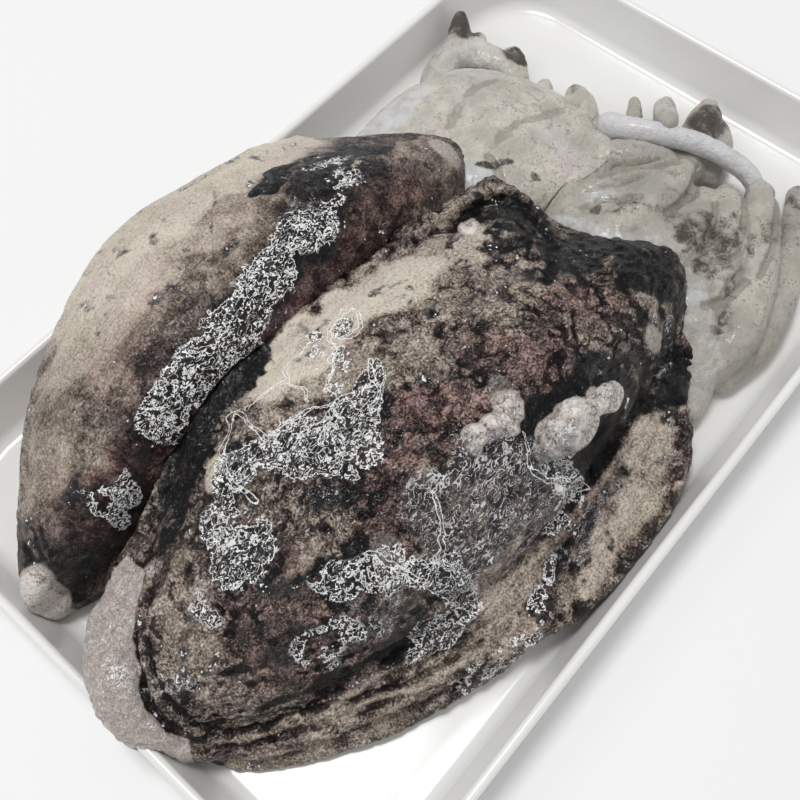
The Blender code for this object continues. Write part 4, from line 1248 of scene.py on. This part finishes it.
def tentacles(name, node_name, limbs, skin):
    """The long pale feeding tentacles, laid over the arms."""
    mesh = bmesh.new()
    for rows in limbs:
        add_limb(mesh, rows)
    item = add_object(name, mesh)
    refine(item, skin.head_voxel, TENTACLE_SMOOTHING)
    points = vertex_points(item)
    raise_skin(item, wrinkles(points, skin.head_wrinkle * TENTACLE_RELIEF, 61))
    for kind, value in (("stain", 0.0), ("fold_shade", 0.0), ("white", 1.0)):
        mark(item, kind, np.full(len(points), value))
    settle(item, node_name, flesh_material(name, skin, TENTACLE_PAINTED_LIGHT))
    return item


class CUTTLEFISH_OT_front(bpy.types.Operator):
    """Build the front cuttlefish's mantle, head, arms and tentacles"""

    bl_idname = "cuttlefish.front"
    bl_label = "Front cuttlefish"

    def execute(self, context):
        skin = context.scene.cuttlefish_skin
        mantle("front_mantle", FRONT, FRONT_COLLAR, (KNOB, LEFT_EDGE), FRONT_LOOK,
               skin)
        body = head("front_head", FRONT, FRONT_HEAD, FRONT_LIMBS.values(),
                    FRONT_HEAD_LOOK, skin)
        hold_in_box(body, FRONT)
        laid_over = tentacles("front_tentacles", FRONT, TENTACLES.values(), skin)
        hold_in_box(laid_over, FRONT)
        return {"FINISHED"}


class CUTTLEFISH_OT_back(bpy.types.Operator):
    """Build the rear cuttlefish's mantle, head and arms"""

    bl_idname = "cuttlefish.back"
    bl_label = "Rear cuttlefish"

    def execute(self, context):
        skin = context.scene.cuttlefish_skin
        mantle("back_mantle", BACK, BACK_COLLAR, (), BACK_LOOK, skin)
        body = head("back_head", BACK, BACK_HEAD, BACK_LIMBS.values(),
                    BACK_HEAD_LOOK, skin)
        for name in ("front_mantle", "front_head"):
            keep_clear(body, bpy.data.objects[name])
        hold_in_box(body, BACK)
        return {"FINISHED"}


def area_lamp(name, at, size, power):
    """A soft round lamp that points at the middle of the tray."""
    lamp = bpy.data.lights.new(name, "AREA")
    lamp.shape = "DISK"
    lamp.size = size
    lamp.energy = power
    item = bpy.data.objects.new(name, lamp)
    item.location = at
    item.rotation_euler = (Vector() - Vector(at)).to_track_quat("-Z", "Y").to_euler()
    bpy.context.scene.collection.objects.link(item)


class CUTTLEFISH_OT_stage(bpy.types.Operator):
    """Build the floor, the lights and the camera"""

    bl_idname = "cuttlefish.stage"
    bl_label = "Stage"

    def execute(self, context):
        settings = context.scene.cuttlefish_stage
        mesh = bmesh.new()
        bmesh.ops.create_grid(mesh, x_segments=1, y_segments=1, size=FLOOR_HALF)
        floor = add_object("floor", mesh)
        material, _, shader = new_material("pale_floor")
        shader.inputs["Base Color"].default_value = (*settings.floor, 1.0)
        shader.inputs["Roughness"].default_value = 0.6
        floor.data.materials.append(material)
        area_lamp("overhead", OVERHEAD_AT, OVERHEAD_SIZE, settings.key)
        area_lamp("window", WINDOW_AT, WINDOW_SIZE, settings.window)
        world = bpy.data.worlds.new("studio")
        world.use_nodes = True
        background = world.node_tree.nodes["Background"]
        background.inputs["Color"].default_value = (1, 1, 1, 1)
        glossy = node(world.node_tree, "LightPath").outputs["Is Glossy Ray"]
        strength = node(world.node_tree, "MapRange", {"Value": glossy, "To Min": settings.fill,
                                                      "To Max": settings.sheen})
        world.node_tree.links.new(strength.outputs["Result"], background.inputs["Strength"])
        context.scene.world = world
        lens = bpy.data.cameras.new("camera")
        lens.lens = settings.lens
        lens.sensor_width = SENSOR_WIDTH
        lens.clip_start = CLIP_START
        camera = bpy.data.objects.new("camera", lens)
        context.scene.collection.objects.link(camera)
        right = Vector(CAMERA_RIGHT).normalized()
        up = Vector(CAMERA_UP).normalized()
        turn = Matrix((right, up, right.cross(up))).transposed().to_4x4()
        camera.matrix_world = Matrix.Translation(Vector(CAMERA_AT) * MM) @ turn
        context.scene.camera = camera
        context.scene.view_settings.view_transform = "Standard"
        return {"FINISHED"}


class CUTTLEFISH_PT_sidebar(bpy.types.Panel):
    """Buttons for each piece"""

    bl_label = "Cuttlefish"
    bl_space_type = "VIEW_3D"
    bl_region_type = "UI"
    bl_category = "Cuttlefish"

    def draw(self, context):
        for operator in OPERATORS:
            self.layout.operator(operator.bl_idname)
        for group in SETTINGS:
            settings = getattr(context.scene, group)
            box = self.layout.box()
            for key in type(settings).__annotations__:
                box.prop(settings, key)


OPERATORS = (CUTTLEFISH_OT_tray, CUTTLEFISH_OT_front, CUTTLEFISH_OT_back, CUTTLEFISH_OT_stage)
SETTINGS = {"cuttlefish_tray": TraySettings, "cuttlefish_skin": SkinSettings,
            "cuttlefish_stage": StageSettings}


def register():
    """Adds the settings, the operators and the panel to Blender."""
    for group in (*SETTINGS.values(), *OPERATORS, CUTTLEFISH_PT_sidebar):
        bpy.utils.register_class(group)
    for name, group in SETTINGS.items():
        setattr(bpy.types.Scene, name, PointerProperty(type=group))


def unregister():
    """Takes them out again."""
    for name in SETTINGS:
        delattr(bpy.types.Scene, name)
    for group in (CUTTLEFISH_PT_sidebar, *reversed(OPERATORS), *reversed(SETTINGS.values())):
        bpy.utils.unregister_class(group)


def main():
    """Builds every piece and the stage."""
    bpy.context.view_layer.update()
    register()
    bpy.ops.cuttlefish.tray()
    bpy.ops.cuttlefish.front()
    bpy.ops.cuttlefish.back()
    bpy.ops.cuttlefish.stage()


if __name__ == "__main__":
    main()
